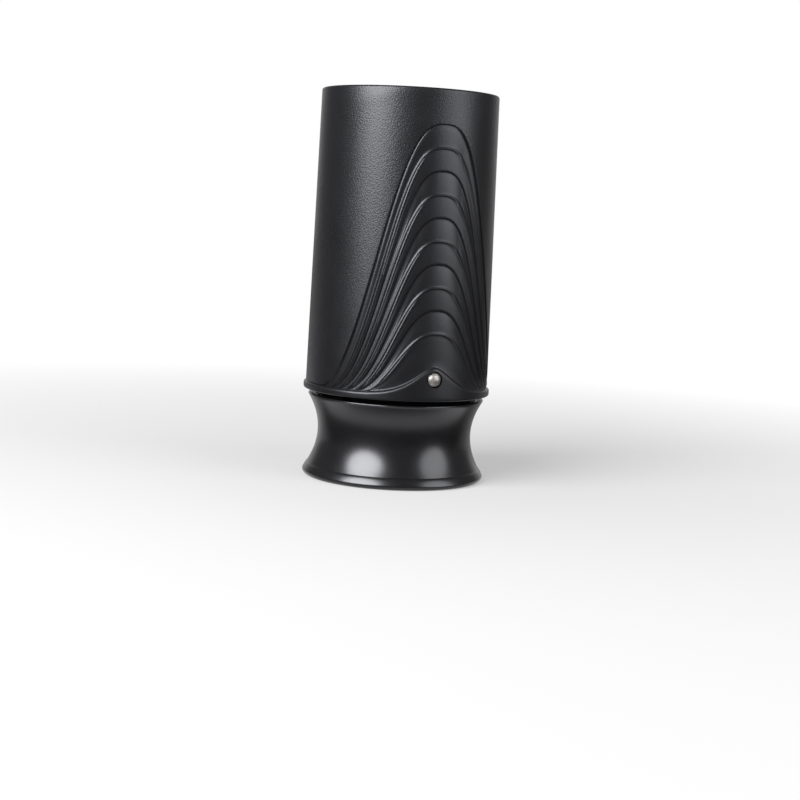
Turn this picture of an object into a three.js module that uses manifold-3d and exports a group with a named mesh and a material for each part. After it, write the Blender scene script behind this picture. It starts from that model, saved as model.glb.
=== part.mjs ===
// Hand-held electric bottle vacuum pump: a tapered housing over a bell-shaped bottle collar.
// Millimetres, +Z up. The origin is the centre of the collar's bottom rim; the front faces -Y.
import * as THREE from 'three';
import { mergeVertices } from 'three/addons/utils/BufferGeometryUtils.js';
import Module from 'manifold-3d';

const wasm = await Module();
wasm.setup();

// ---- Driving dimensions ----

const seat = 0.3; // gap left between two pieces that touch
const over = 1; // how far a cut runs past the face it opens

// Housing shell
const bodyTopRadius = 24.0;
const bodyBaseRadius = 25.05;
const wall = 2.2;
const edgeRound = 0.6;
const lipProud = 0.6;
const lipHeight = 2.0;
const lipRound = 0.4;
const bossWebHalf = 1;
const blindEnd = 0.7;

// Bell collar
const collarHeight = 22.6;
const collarGap = 1.3;
const collarTravel = 1.0;
const footRadius = 25.1;
const footHeight = 1.2;
const footRound = 1.0;
const waistRadius = 21.2;
const waistHeight = 12.5;
const collarTopRadius = 24.2;
const collarEdge = 0.4;
const collarWall = 2.0;
const deckBottom = 16.0;
const deckThickness = 2.0;
const hubRadius = 7.0;
const hubHeight = 4.0;

// Nozzle, seal and guide screws
const nozzleRadius = 4.0;
const nozzleBore = 2.2;
const nozzleTip = 14.2;
const oringWire = 0.6;
const oringGroove = 1.8;
const oringSlack = 0.1;
const oringLift = 0.05;
const sealThickness = 2.5;
const sealFaceRadius = 12.0;
const sealFlangeRadius = 13.5;
const sealFlange = 1.3;
const retainerLip = 0.7;
const retainerRadius = 14.6;
const guideCircle = 17.0;
const guideAngles = [30, 150, 270];
const guideHeadRadius = 2.0;
const guideHead = 1.5;
const guideShoulder = 1.2;
const guideThread = 0.8;
const guideBossRadius = 3.0;
const guideThreadLength = 4.8;
const filterThickness = 1.0;
const filterInset = 1.0;

// Base plate and its screws
const plateThickness = 2.2;
const plateScrewEdge = 0.65;
const plateScrewInset = 0.1;
const plateScrewAngles = [90, 210, 330];
const plateScrewHead = 2.0;
const plateScrewHeadHeight = 0.9;
const plateScrewShank = 0.9;
const plateScrewLength = 5.6;
const plateBossRadius = 2.4;
const springWire = 0.5;
const springTurns = 3;
const springRadius = 9.5;

// Air tower, hose and release valve
const towerHalf = 2.8;
const towerRoof = 1.3;
const airBore = 1.0;
const barbRadius = 1.1;
const barbBore = 0.6;
const barbLength = 2.2;
const hoseWall = 0.6;
const releaseBodyRadius = 3.0;
const releaseSpringRoom = 2.15;
const domeRadius = 1.83;
const domeProud = 0.65;
const domeHeight = 1.37;
const domeHole = 2.15;
const releaseTravel = 0.8;
const releaseFlangeRadius = 2.9;
const releaseFlange = 1.1;
const stemRadius = 1.6;
const stemStandOff = 2.2;
const stemNose = 1.5;
const stemGroove = 1.0;
const stemGrooveWidth = 1.05;
const stemOring = 0.35;
const releaseWire = 0.3;

// Pump
const pumpX = 13;
const pumpHalfX = 5.5;
const pumpHalfY = 6.8;
const headThickness = 3.5;
const pocketFloor = 1.0;
const pocketWidth = 3.4;
const pocketHalfY = 4.2;
const pocketWeb = 0.8;
const portInset = 2;
const valveThickness = 2.8;
const chamberDepth = 1.9;
const chamberRadius = 5.4;
const flapThickness = 0.25;
const flapGap = 0.1;
const flapHalfY = 2.6;
const flapNear = 1.2;
const flapFar = 3.8;
const valveHoleX = 2.5;
const valveHoleY = 1.4;
const valveHole = 0.7;
const diaphragmThickness = 0.8;
const diaphragmRadius = 5.9;
const diaphragmRim = 4.9;
const crankThrow = 0.8;
const rodNeck = 0.1;
const shaftRadius = 1.0;
const eccentricRadius = 2.9;
const eccentricWidth = 4.0;
const shaftTail = 1;
const rodRing = 1.4;
const rodFootRadius = 3.4;
const rodFoot = 1.0;
const rodStem = 2.4;
const pistonScrewHead = 0.6;
const pistonScrewHeadRadius = 3.2;
const pistonScrewShank = 1.0;
const pistonScrewLength = 2.9;
const crankSetBack = 0.5;
const crankWall = 1.2;
const crankFloor = 1.5;
const crankPort = 4.7;
const crankHeadroom = 0.4;
const coverPlate = 0.8;
const pumpScrewX = 4.3;
const pumpScrewY = 5.3;
const pumpScrewShank = 0.6;
const pumpScrewHead = 1.0;
const pumpScrewHeadHeight = 0.7;
const pumpScrewGrip = 2.5;

// Motor
const motorRadius = 10.05;
const motorFlat = 15.1;
const motorLength = 23;
const motorBoss = 3.0;
const endCapLength = 1.9;
const terminalY = 5;
const terminalLength = 1.2;
const terminalHalfY = 1.2;
const terminalHalfZ = 2;
const wireBend = 1;
const wireLean = 1.5;
const wireRadius = 0.5;
const saddleX = -10;
const saddleHalf = 1.5;
const saddleY = [5.0, 7.5];
const rotorRadius = 5.9;
const rotorLength = 11;
const rotorGap = 1.0;
const canFront = 1.0;

// Switch
const rodCircle = 17.0;
const pushRodRadius = 1.2;
const pushRodFlange = 2.2;
const pushRodFlangeHeight = 1.0;
const pushRodProud = 0.6;
const switchHalfX = 3.0;
const switchHalfY = 3.2;
const plungerProud = 1.1;
const switchRoof = 0.7;
const plungerHalfX = 1.0;
const plungerHalfY = 0.8;
const plungerHeight = 3.1;

// Control board
const boardHalfX = 14;
const boardHalfY = 10.5;
const boardThickness = 1.6;
const chipHalf = 4;
const chipHeight = 1.1;

// Batteries and their carrier
const cellRadius = 5.25;
const cellLength = 44.5;
const cellNipple = 1.0;
const cellNippleRadius = 1.9;
const cellChamfer = 0.5;
const cellOffset = 8.63;
const cellSpring = 2.0;
const cellSpringWire = 0.5;
const cellSpringTurns = 2;
const contactThickness = 0.3;
const contactWidth = 6;
const carrierRadius = 18.6;
const carrierTopRadius = 17.5;
const carrierDisc = 1.2;
const carrierTopDisc = 1.0;
const carrierPost = 4.0;
const carrierClearance = 0.25;
const carrierHeadroom = 0.4;
const ribHalf = 0.8;
const ribShelf = 1.6;
const ribReach = 1.7;
const ribDrop = 1.5;
const ribAngles = [45, 135, 225, 315];

// Battery cover
const openingRadius = 20.7;
const ledgeRadius = 19.4;
const ledgeThickness = 1.0;
const coverThickness = 1.7;
const coverRecess = 0.3;
const coverEdge = 0.4;
const coverSkirt = 1.2;
const lugHalf = 2.4;
const lugHeight = 1.9;
const lugAngles = [90, 210, 330];
const lugInset = 0.4;
const lockTurn = 30;
const coinLength = 14;
const coinWidth = 2;
const coinDepth = 0.9;
const coverSealThickness = 0.6;

// ---- Sizes worked out from them, from the bottom up ----

const deckTop = deckBottom + deckThickness;
const guideBossBottom = deckTop + collarTravel + seat;
const shellBase = collarHeight + collarGap;
const lipTop = shellBase + lipHeight;
const lipRadius = bodyBaseRadius + lipProud;
const plateBottom = shellBase + seat;
const plateTop = plateBottom + plateThickness;
const plateRadius = bodyBaseRadius - wall - seat;
const plateScrewCircle = plateRadius - plateScrewHead - seat - plateScrewEdge;
const releaseHeight = plateTop + seat + releaseBodyRadius;
const towerTop = releaseHeight + airBore + towerRoof;

// Pump and motor
const headBottom = plateTop + seat;
const headTop = headBottom + headThickness;
const valveBottom = headTop + seat;
const valveTop = valveBottom + valveThickness;
const rimBottom = valveTop + seat;
const crankBottom = rimBottom + diaphragmThickness + seat;
const footBottom = crankBottom + crankThrow;
const footTop = footBottom + rodFoot;
const ringBore = eccentricRadius + seat;
const ringCentre = footTop + rodNeck + rodRing + ringBore;
const shaftHeight = ringCentre - crankThrow;
const crankTop = ringCentre + ringBore + rodRing + crankHeadroom + crankFloor;
const barbHeight = headBottom + barbRadius + seat + hoseWall;
const pumpSpanX = [pumpX - pumpHalfX, pumpX + pumpHalfX];
const pumpSpanY = [-pumpHalfY, pumpHalfY];
const shaftX = pumpSpanX[0] - crankSetBack;
const motorBottom = shaftHeight - motorFlat / 2;
const motorBack = shaftX - motorLength;

// Switch, board and batteries
const pushRodTop = plateTop + pushRodProud;
const plungerBottom = pushRodTop + seat;
const plungerTop = plungerBottom + plungerHeight;
const switchBottom = plungerBottom + plungerProud;
const switchTop = plungerTop + collarTravel + seat + switchRoof;
const boardBottom = shaftHeight + motorFlat / 2 + seat;
const boardTop = boardBottom + boardThickness;
const chipBottom = boardTop + seat;
const carrierBottom = chipBottom + chipHeight + seat + carrierClearance;
const lowContactBottom = carrierBottom + carrierDisc + seat;
const lowContactTop = lowContactBottom + contactThickness;
const upContactBottom = lowContactTop + seat + cellSpring + seat + cellLength + seat;
const upContactTop = upContactBottom + contactThickness;
const carrierTopBottom = upContactTop + seat;

// Battery cover and the top of the housing
const coverBottom = carrierTopBottom + carrierTopDisc + carrierHeadroom;
const coverTop = coverBottom + coverThickness;
const height = coverTop + coverRecess;
const ledgeTop = coverBottom - coverSealThickness - 2 * seat;
const lugTop = ledgeTop - ledgeThickness - seat;
const coverSkirtBottom = lugTop - lugHeight;

const shellRadius = z => {
  const t = (z - lipTop) / (height - lipTop);
  return bodyBaseRadius + (bodyTopRadius - bodyBaseRadius) * t;
};

const collarRadius = z => {
  const low = ((waistHeight - z) / (waistHeight - footHeight)) ** 2;
  const high = ((z - waistHeight) / (collarHeight - collarEdge - waistHeight)) ** 2;
  return z < waistHeight
    ? waistRadius + (footRadius - waistRadius) * low
    : waistRadius + (collarTopRadius - waistRadius) * high;
};

// ---- Geometry helpers ----

const roundSides = 40;
const boreSides = 32;
const ringSides = 28;
const smallSides = 18;
const screwSides = 16;
const holeSides = 12;
const wireSides = 6;
const canSegments = 7;
const coilStepsPerTurn = 12;
const wireSteps = 10;
const flareRows = 10;
const skirtRows = 6;
const cupRows = 3;
const crownRows = 6;
const edgeStep = Math.PI / 6; // rounded edges turn a quarter circle in three steps

const weldDistance = 1e-4;

const solidOf = geometry => {
  const bare = geometry.clone();
  bare.deleteAttribute('normal');
  bare.deleteAttribute('uv');
  const merged = mergeVertices(bare, weldDistance);
  return new wasm.Manifold(new wasm.Mesh({
    numProp: 3,
    vertProperties: Float32Array.from(merged.attributes.position.array),
    triVerts: Uint32Array.from(merged.index.array),
  }));
};

const geometryOf = solid => {
  const mesh = solid.getMesh();
  const geometry = new THREE.BufferGeometry();
  geometry.setAttribute('position', new THREE.BufferAttribute(mesh.vertProperties, 3));
  geometry.setIndex(new THREE.BufferAttribute(mesh.triVerts, 1));
  geometry.computeVertexNormals();
  return geometry;
};

// A closed (radius, height) profile, listed anticlockwise, turned about Z.
const turned = (points, sides = roundSides) => {
  const profile = points.map(([r, z]) => new THREE.Vector2(r, z));
  const onAxis = points[0][0] === 0 && points.at(-1)[0] === 0;
  if (!onAxis) profile.push(profile[0].clone());
  return solidOf(new THREE.LatheGeometry(profile, sides).rotateX(Math.PI / 2));
};

const cylinder = (radius, bottom, top, [x, y] = [0, 0], sides = smallSides) =>
  solidOf(new THREE.CylinderGeometry(radius, radius, top - bottom, sides)
    .rotateX(Math.PI / 2)
    .translate(x, y, (bottom + top) / 2));

const box = ([x0, x1], [y0, y1], [z0, z1]) =>
  solidOf(new THREE.BoxGeometry(x1 - x0, y1 - y0, z1 - z0)
    .translate((x0 + x1) / 2, (y0 + y1) / 2, (z0 + z1) / 2));

// A bar along X (or Y) with a round section.
const barX = (radius, [x0, x1], y, z, sides = smallSides) =>
  solidOf(new THREE.CylinderGeometry(radius, radius, x1 - x0, sides)
    .rotateZ(Math.PI / 2)
    .translate((x0 + x1) / 2, y, z));

const barY = (radius, [y0, y1], x, z, sides = smallSides) =>
  solidOf(new THREE.CylinderGeometry(radius, radius, y1 - y0, sides)
    .translate(x, (y0 + y1) / 2, z));

const polar = (radius, degrees) => {
  const angle = THREE.MathUtils.degToRad(degrees);
  return [radius * Math.cos(angle), radius * Math.sin(angle)];
};

const turnZ = (solid, degrees) => solid.rotate([0, 0, degrees]);

const ring = (major, minor, z, sides = ringSides) =>
  solidOf(new THREE.TorusGeometry(major, minor, wireSides, sides).translate(0, 0, z));

class Coil extends THREE.Curve {
  constructor(radius, bottom, top, turns) {
    super();
    Object.assign(this, { radius, bottom, top, turns });
  }

  getPoint(t, target = new THREE.Vector3()) {
    const angle = 2 * Math.PI * this.turns * t;
    return target.set(
      this.radius * Math.cos(angle),
      this.radius * Math.sin(angle),
      this.bottom + (this.top - this.bottom) * t,
    );
  }
}

// A round bar along a path.
const rod = (curve, radius, steps) => {
  const section = new THREE.Shape();
  section.absarc(0, 0, radius, 0, 2 * Math.PI);
  return solidOf(new THREE.ExtrudeGeometry(section, {
    steps,
    curveSegments: wireSides / 2,
    extrudePath: curve,
    bevelEnabled: false,
  }));
};

const coil = (radius, wire, bottom, top, turns) =>
  rod(new Coil(radius, bottom + wire / 2, top - wire / 2, turns), wire / 2, turns * coilStepsPerTurn);

// ---- Materials ----

const material = (color, roughness, metalness = 0) =>
  new THREE.MeshStandardMaterial({ color, roughness, metalness });

const housingBlack = material(0x2b2b2f, 0.55);
const collarBlack = material(0x222225, 0.32);
const moulding = material(0x3a3b3f, 0.6);
const silicone = material(0x8f9296, 0.75);
const rubber = material(0x1c1c1c, 0.85);
const steel = material(0xb9bbbe, 0.3, 1);
const pearl = material(0xc8c3be, 0.35, 0.6);
const brass = material(0xc9a25a, 0.35, 1);
const nickel = material(0xcfcdc6, 0.3, 1);
const boardGreen = material(0x1f5b3a, 0.5);
const whitePlastic = material(0xe4e2dc, 0.5);
const cellWrap = material(0x3b4a63, 0.4);
const wireRed = material(0x9b2a22, 0.5);
const felt = material(0xd8d4ca, 0.95);

const part = new THREE.Group();

const place = (name, solid, slot) => {
  const mesh = new THREE.Mesh(geometryOf(solid), slot);
  mesh.name = name;
  part.add(mesh);
};

// ---- Housing ----

const shellProfile = () => {
  const innerTop = ledgeTop - ledgeThickness;
  const round = [1, 2, 3].map(i => {
    const angle = i * edgeStep;
    return [
      bodyTopRadius - edgeRound * (1 - Math.cos(angle)),
      height - edgeRound * (1 - Math.sin(angle)),
    ];
  });
  return [
    [bodyBaseRadius - wall, shellBase],
    [lipRadius - lipRound, shellBase],
    [lipRadius, shellBase + lipRound],
    [lipRadius, lipTop - lipRound],
    [bodyBaseRadius + lipRound / 2, lipTop],
    [shellRadius(height - edgeRound), height - edgeRound],
    ...round,
    [openingRadius, height],
    [openingRadius, ledgeTop],
    [ledgeRadius, ledgeTop],
    [ledgeRadius, innerTop],
    [shellRadius(innerTop) - wall, innerTop],
    [bodyBaseRadius - wall, lipTop],
  ];
};

const buildShell = () => {
  let shell = turned(shellProfile());
  const bossBottom = plateTop + seat;
  const bossTop = bossBottom + plateScrewLength;
  for (const angle of plateScrewAngles) {
    const at = polar(plateScrewCircle, angle);
    const webX = [plateScrewCircle, bodyBaseRadius - wall / 2];
    const web = box(webX, [-bossWebHalf, bossWebHalf], [bossBottom, bossTop]);
    shell = shell.add(cylinder(plateBossRadius, bossBottom, bossTop, at)).add(turnZ(web, angle));
    shell = shell.subtract(cylinder(plateScrewShank + seat, bossBottom - over, bossTop - blindEnd, at));
  }
  const shelfTop = carrierBottom - seat;
  const ribTop = coverSkirtBottom - ribDrop;
  for (const angle of ribAngles) {
    const ends = [carrierRadius + seat, bodyTopRadius - wall / 2];
    const rib = box(ends, [-ribHalf, ribHalf], [shelfTop - ribShelf, ribTop]);
    const shelfX = [carrierRadius - ribReach, ends[1]];
    const shelf = box(shelfX, [-ribHalf, ribHalf], [shelfTop - ribShelf, shelfTop]);
    shell = shell.add(turnZ(rib, angle)).add(turnZ(shelf, angle));
  }
  for (const angle of lugAngles) {
    const half = lugHalf + seat;
    const slotX = [ledgeRadius - over, openingRadius];
    const slot = box(slotX, [-half, half], [ledgeTop - 2 * ledgeThickness, height]);
    shell = shell.subtract(turnZ(slot, angle + lockTurn));
  }
  const holeY = [-lipRadius, -bodyBaseRadius + 2 * wall];
  shell = shell.subtract(barY(domeHole, holeY, 0, releaseHeight, boreSides));
  place('body_shell', shell, housingBlack);
};

// ---- Bell collar and what rides on it ----

const steps = (from, to, count) =>
  Array.from({ length: count }, (_, i) => from + ((to - from) * i) / (count - 1));

const buildCollar = () => {
  const inner = z => Math.min(collarRadius(z), footRadius) - collarWall;
  const boreRadius = nozzleRadius + seat;
  const hubTop = deckBottom + hubHeight;
  const grooveMiddle = deckBottom + hubHeight / 2;
  const grooveHalf = oringWire + oringSlack;
  const foot = [0, 1, 2].map(i => {
    const angle = i * edgeStep;
    return [
      footRadius - footRound * (1 - Math.sin(angle)),
      footHeight * (1 - Math.cos(angle)),
    ];
  });
  const outer = steps(footHeight, collarHeight - collarEdge, flareRows).map(z => [collarRadius(z), z]);
  const cup = steps(collarHeight, deckTop, cupRows)
    .map(z => [inner(Math.min(z, collarHeight - collarEdge)), z]);
  const skirt = steps(deckBottom, footHeight, skirtRows).map(z => [inner(z), z]);
  let collar = turned([
    [footRadius - collarWall, 0],
    ...foot,
    ...outer,
    [collarTopRadius - collarEdge, collarHeight],
    ...cup,
    [hubRadius, deckTop],
    [hubRadius, hubTop],
    [boreRadius, hubTop],
    [boreRadius, grooveMiddle + grooveHalf],
    [nozzleRadius + oringGroove, grooveMiddle + grooveHalf],
    [nozzleRadius + oringGroove, grooveMiddle - grooveHalf],
    [boreRadius, grooveMiddle - grooveHalf],
    [boreRadius, deckBottom],
    ...skirt,
  ]);
  for (const angle of guideAngles) {
    const at = polar(guideCircle, angle);
    collar = collar.subtract(cylinder(guideShoulder + seat, deckBottom - over, deckTop + over, at));
  }
  const rodHole = cylinder(pushRodRadius + seat, deckBottom - over, deckTop + over, [-rodCircle, 0]);
  place('collar', collar.subtract(rodHole), collarBlack);

  const oringMajor = nozzleRadius + seat + oringWire + oringLift;
  place('nozzle_oring', ring(oringMajor, oringWire, grooveMiddle), rubber);
};

const buildSeal = () => {
  const top = deckBottom - seat;
  const bottom = top - sealThickness;
  const bore = nozzleRadius + seat;
  const flangeBottom = top - sealFlange;
  place('seal_cup', turned([
    [bore, bottom],
    [sealFaceRadius, bottom],
    [sealFaceRadius, flangeBottom],
    [sealFlangeRadius, flangeBottom],
    [sealFlangeRadius, top],
    [bore, top],
  ], ringSides), silicone);

  const lipInner = sealFaceRadius + seat;
  const lipTopZ = flangeBottom - seat;
  place('seal_retainer', turned([
    [lipInner, lipTopZ - retainerLip],
    [retainerRadius, lipTopZ - retainerLip],
    [retainerRadius, top],
    [sealFlangeRadius + seat, top],
    [sealFlangeRadius + seat, lipTopZ],
    [lipInner, lipTopZ],
  ], ringSides), moulding);
};

const buildPushRod = () => {
  const at = [-rodCircle, 0];
  const flangeBottom = deckTop + seat;
  const pin = cylinder(pushRodRadius, deckBottom + seat, pushRodTop, at);
  const flange = cylinder(pushRodFlange, flangeBottom, flangeBottom + pushRodFlangeHeight, at);
  place('push_rod', pin.add(flange), steel);
};

// ---- Base plate ----

const buildBasePlate = () => {
  let plate = cylinder(plateRadius, plateBottom, plateTop, [0, 0], roundSides);
  plate = plate.add(cylinder(nozzleRadius, nozzleTip, plateTop, [0, 0], boreSides));
  const tower = [-towerHalf, towerHalf];
  plate = plate.add(box(tower, tower, [plateBottom, towerTop]));
  plate = plate.add(barX(barbRadius, [0, towerHalf + barbLength], 0, barbHeight));
  for (const angle of guideAngles) {
    const at = polar(guideCircle, angle);
    plate = plate.add(cylinder(guideBossRadius, guideBossBottom, plateTop, at));
    const threadTop = guideBossBottom + guideThreadLength + seat;
    plate = plate.subtract(cylinder(guideThread + seat, guideBossBottom - over, threadTop, at));
  }
  for (const angle of plateScrewAngles) {
    const at = polar(plateScrewCircle, angle);
    const sunk = plateBottom + plateScrewInset + plateScrewHeadHeight + seat;
    plate = plate.subtract(cylinder(plateScrewHead + seat, plateBottom - over, sunk, at));
    plate = plate.subtract(cylinder(plateScrewShank + seat, plateBottom, plateTop + over, at));
  }
  for (const side of [-1, 1]) {
    const rail = [switchHalfY / 2, switchHalfY].map(y => side * y).sort((a, b) => a - b);
    const railX = [-rodCircle - switchHalfX, -rodCircle + switchHalfX];
    plate = plate.add(box(railX, rail, [plateTop - over, switchBottom - seat]));
    const post = saddleY.map(y => side * y).sort((a, b) => a - b);
    const postX = [saddleX - saddleHalf, saddleX + saddleHalf];
    plate = plate.add(box(postX, post, [plateTop - over, motorBottom - seat]));
  }
  plate = plate.subtract(cylinder(nozzleBore, nozzleTip - over, plateBottom, [0, 0]));
  plate = plate.subtract(cylinder(airBore, nozzleTip, releaseHeight, [0, 0]));
  plate = plate.subtract(barX(barbBore, [0, towerHalf + barbLength + over], 0, barbHeight, holeSides));
  plate = plate.subtract(barY(airBore, [-towerHalf - over, 0], 0, releaseHeight, screwSides));
  const rodAt = [-rodCircle, 0];
  plate = plate.subtract(cylinder(pushRodRadius + seat, plateBottom - over, plateTop + over, rodAt));
  place('base_plate', plate, moulding);
  const filterBottom = nozzleTip + filterInset;
  place('nozzle_filter', cylinder(nozzleBore - seat, filterBottom, filterBottom + filterThickness), felt);
};

const buildScrews = () => {
  guideAngles.forEach((angle, i) => {
    const at = polar(guideCircle, angle);
    const headTop = deckBottom - seat;
    const shoulderTop = guideBossBottom - seat;
    const screw = cylinder(guideHeadRadius, headTop - guideHead, headTop, at, screwSides)
      .add(cylinder(guideShoulder, headTop - guideHead / 2, shoulderTop, at, screwSides))
      .add(cylinder(guideThread, headTop, shoulderTop + guideThreadLength, at, holeSides));
    place(`guide_screw_${i + 1}`, screw, steel);
  });
  plateScrewAngles.forEach((angle, i) => {
    const at = polar(plateScrewCircle, angle);
    const bottom = plateBottom + plateScrewInset;
    const headTop = bottom + plateScrewHeadHeight;
    const screw = cylinder(plateScrewHead, bottom, headTop, at, screwSides)
      .add(cylinder(plateScrewShank, bottom, headTop + plateScrewLength, at, holeSides));
    place(`plate_screw_${i + 1}`, screw, steel);
  });
  const spring = coil(springRadius, springWire, deckTop + seat, plateBottom - seat, springTurns);
  place('collar_spring', spring, steel);
};

// ---- Release valve ----

const releaseFlangeFront = -(bodyBaseRadius - wall - 2 * seat);
const releaseFlangeBack = releaseFlangeFront + releaseFlange;
const releaseBodyFront = -releaseFlangeBack - releaseSpringRoom;

const turnedAlongY = (points, sides) =>
  turned(points, sides).rotate([90, 0, 0]).translate([0, 0, releaseHeight]);

const buildRelease = () => {
  const bodyBack = towerHalf + seat;
  const ventAt = [0, -releaseBodyFront / 2];
  const valve = barY(releaseBodyRadius, [-releaseBodyFront, -bodyBack], 0, releaseHeight)
    .subtract(barY(stemRadius + seat, [-releaseBodyFront - over, -bodyBack + over], 0, releaseHeight))
    .subtract(cylinder(airBore, releaseHeight, releaseHeight + 2 * releaseBodyRadius, ventAt));
  place('release_valve_body', valve, moulding);

  // The profile's heights are distances in front of the housing's axis.
  const domeTip = shellRadius(releaseHeight) + domeProud;
  const domeBase = domeTip - domeHeight;
  const crown = steps(0, Math.PI / 2, crownRows).map(angle => [
    domeRadius * Math.cos(angle),
    domeBase + (domeTip - domeBase) * Math.sin(angle),
  ]);
  crown.at(-1)[0] = 0;
  const stemEnd = towerHalf + stemStandOff;
  const grooveEnd = stemEnd + stemNose;
  const grooveStart = grooveEnd + stemGrooveWidth;
  place('release_button', turnedAlongY([
    [0, stemEnd],
    [stemRadius, stemEnd],
    [stemRadius, grooveEnd],
    [stemGroove, grooveEnd],
    [stemGroove, grooveStart],
    [stemRadius, grooveStart],
    [stemRadius, -releaseFlangeBack],
    [releaseFlangeRadius, -releaseFlangeBack],
    [releaseFlangeRadius, -releaseFlangeFront],
    [domeRadius, -releaseFlangeFront],
    ...crown,
  ], smallSides), pearl);

  const oringAt = (grooveEnd + grooveStart) / 2;
  const oring = ring(stemGroove + stemOring + oringLift, stemOring, oringAt, smallSides)
    .rotate([90, 0, 0])
    .translate([0, 0, releaseHeight]);
  place('release_oring', oring, rubber);

  const springFar = -releaseFlangeBack - seat;
  const springMean = stemRadius + seat + releaseWire;
  const spring = coil(springMean, releaseWire, releaseBodyFront + seat, springFar, springTurns)
    .rotate([90, 0, 0])
    .translate([0, 0, releaseHeight]);
  place('release_spring', spring, steel);
};

// ---- Pump ----

const pumpScrews = [[pumpX - pumpScrewX, pumpScrewY], [pumpX + pumpScrewX, -pumpScrewY]];

const buildPumpHead = () => {
  let head = box(pumpSpanX, pumpSpanY, [headBottom, headTop]);
  const barbEnd = pumpSpanX[0] - barbLength;
  head = head.add(barX(barbRadius, [barbEnd, pumpX - portInset], 0, barbHeight));
  const pocketY = [-pocketHalfY, pocketHalfY];
  for (const side of [-1, 1]) {
    const middle = pumpX + side * (pocketWidth / 2 + pocketWeb);
    const pocketX = [middle - pocketWidth / 2, middle + pocketWidth / 2];
    head = head.subtract(box(pocketX, pocketY, [headBottom + pocketFloor, headTop + over]));
  }
  head = head.subtract(barX(barbBore, [barbEnd - over, pumpX - portInset], 0, barbHeight, holeSides));
  head = head.subtract(barX(barbBore, [pumpX + portInset, pumpSpanX[1] + over], 0, barbHeight, holeSides));
  for (const at of pumpScrews) {
    head = head.subtract(cylinder(pumpScrewShank + seat, headBottom - over, headTop + over, at, screwSides));
    const sunk = headBottom + pumpScrewHeadHeight + 2 * seat;
    head = head.subtract(cylinder(pumpScrewHead + seat, headBottom - over, sunk, at, screwSides));
  }
  place('pump_head', head, whitePlastic);

  const hose = barX(barbRadius + seat + hoseWall, [towerHalf + seat, pumpSpanX[0] - seat], 0, barbHeight)
    .subtract(barX(barbRadius + seat, [0, pumpX], 0, barbHeight));
  place('port_hose', hose, silicone);
};

const buildValves = () => {
  let plate = box(pumpSpanX, pumpSpanY, [valveBottom, valveTop]);
  const floor = valveTop - chamberDepth;
  plate = plate.subtract(cylinder(chamberRadius, floor, valveTop + over, [pumpX, 0], boreSides));
  for (const side of [-1, 1]) {
    for (const y of [-valveHoleY, valveHoleY]) {
      const at = [pumpX + side * valveHoleX, y];
      plate = plate.subtract(cylinder(valveHole, valveBottom - over, floor + over, at, holeSides));
    }
  }
  for (const at of pumpScrews) {
    const hole = cylinder(pumpScrewShank + seat, valveBottom - over, valveTop + over, at, screwSides);
    plate = plate.subtract(hole);
  }
  place('valve_plate', plate, whitePlastic);

  const flapY = [-flapHalfY, flapHalfY];
  const inlet = floor + flapGap;
  const inletX = [pumpX - flapFar, pumpX - flapNear];
  place('inlet_flap', box(inletX, flapY, [inlet, inlet + flapThickness]), silicone);
  const outlet = valveBottom - flapGap;
  const outletX = [pumpX + flapNear, pumpX + flapFar];
  place('outlet_flap', box(outletX, flapY, [outlet - flapThickness, outlet]), silicone);

  // The diaphragm is drawn at the top of its stroke, its middle raised by the throw.
  const t = diaphragmThickness;
  const diaphragm = turned([
    [pistonScrewShank + seat, rimBottom + crankThrow],
    [rodFootRadius, rimBottom + crankThrow],
    [diaphragmRim, rimBottom],
    [diaphragmRadius, rimBottom],
    [diaphragmRadius, rimBottom + t],
    [diaphragmRim, rimBottom + t],
    [rodFootRadius, rimBottom + crankThrow + t],
    [pistonScrewShank + seat, rimBottom + crankThrow + t],
  ], ringSides).translate([pumpX, 0, 0]);
  place('diaphragm', diaphragm, rubber);
};

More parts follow.
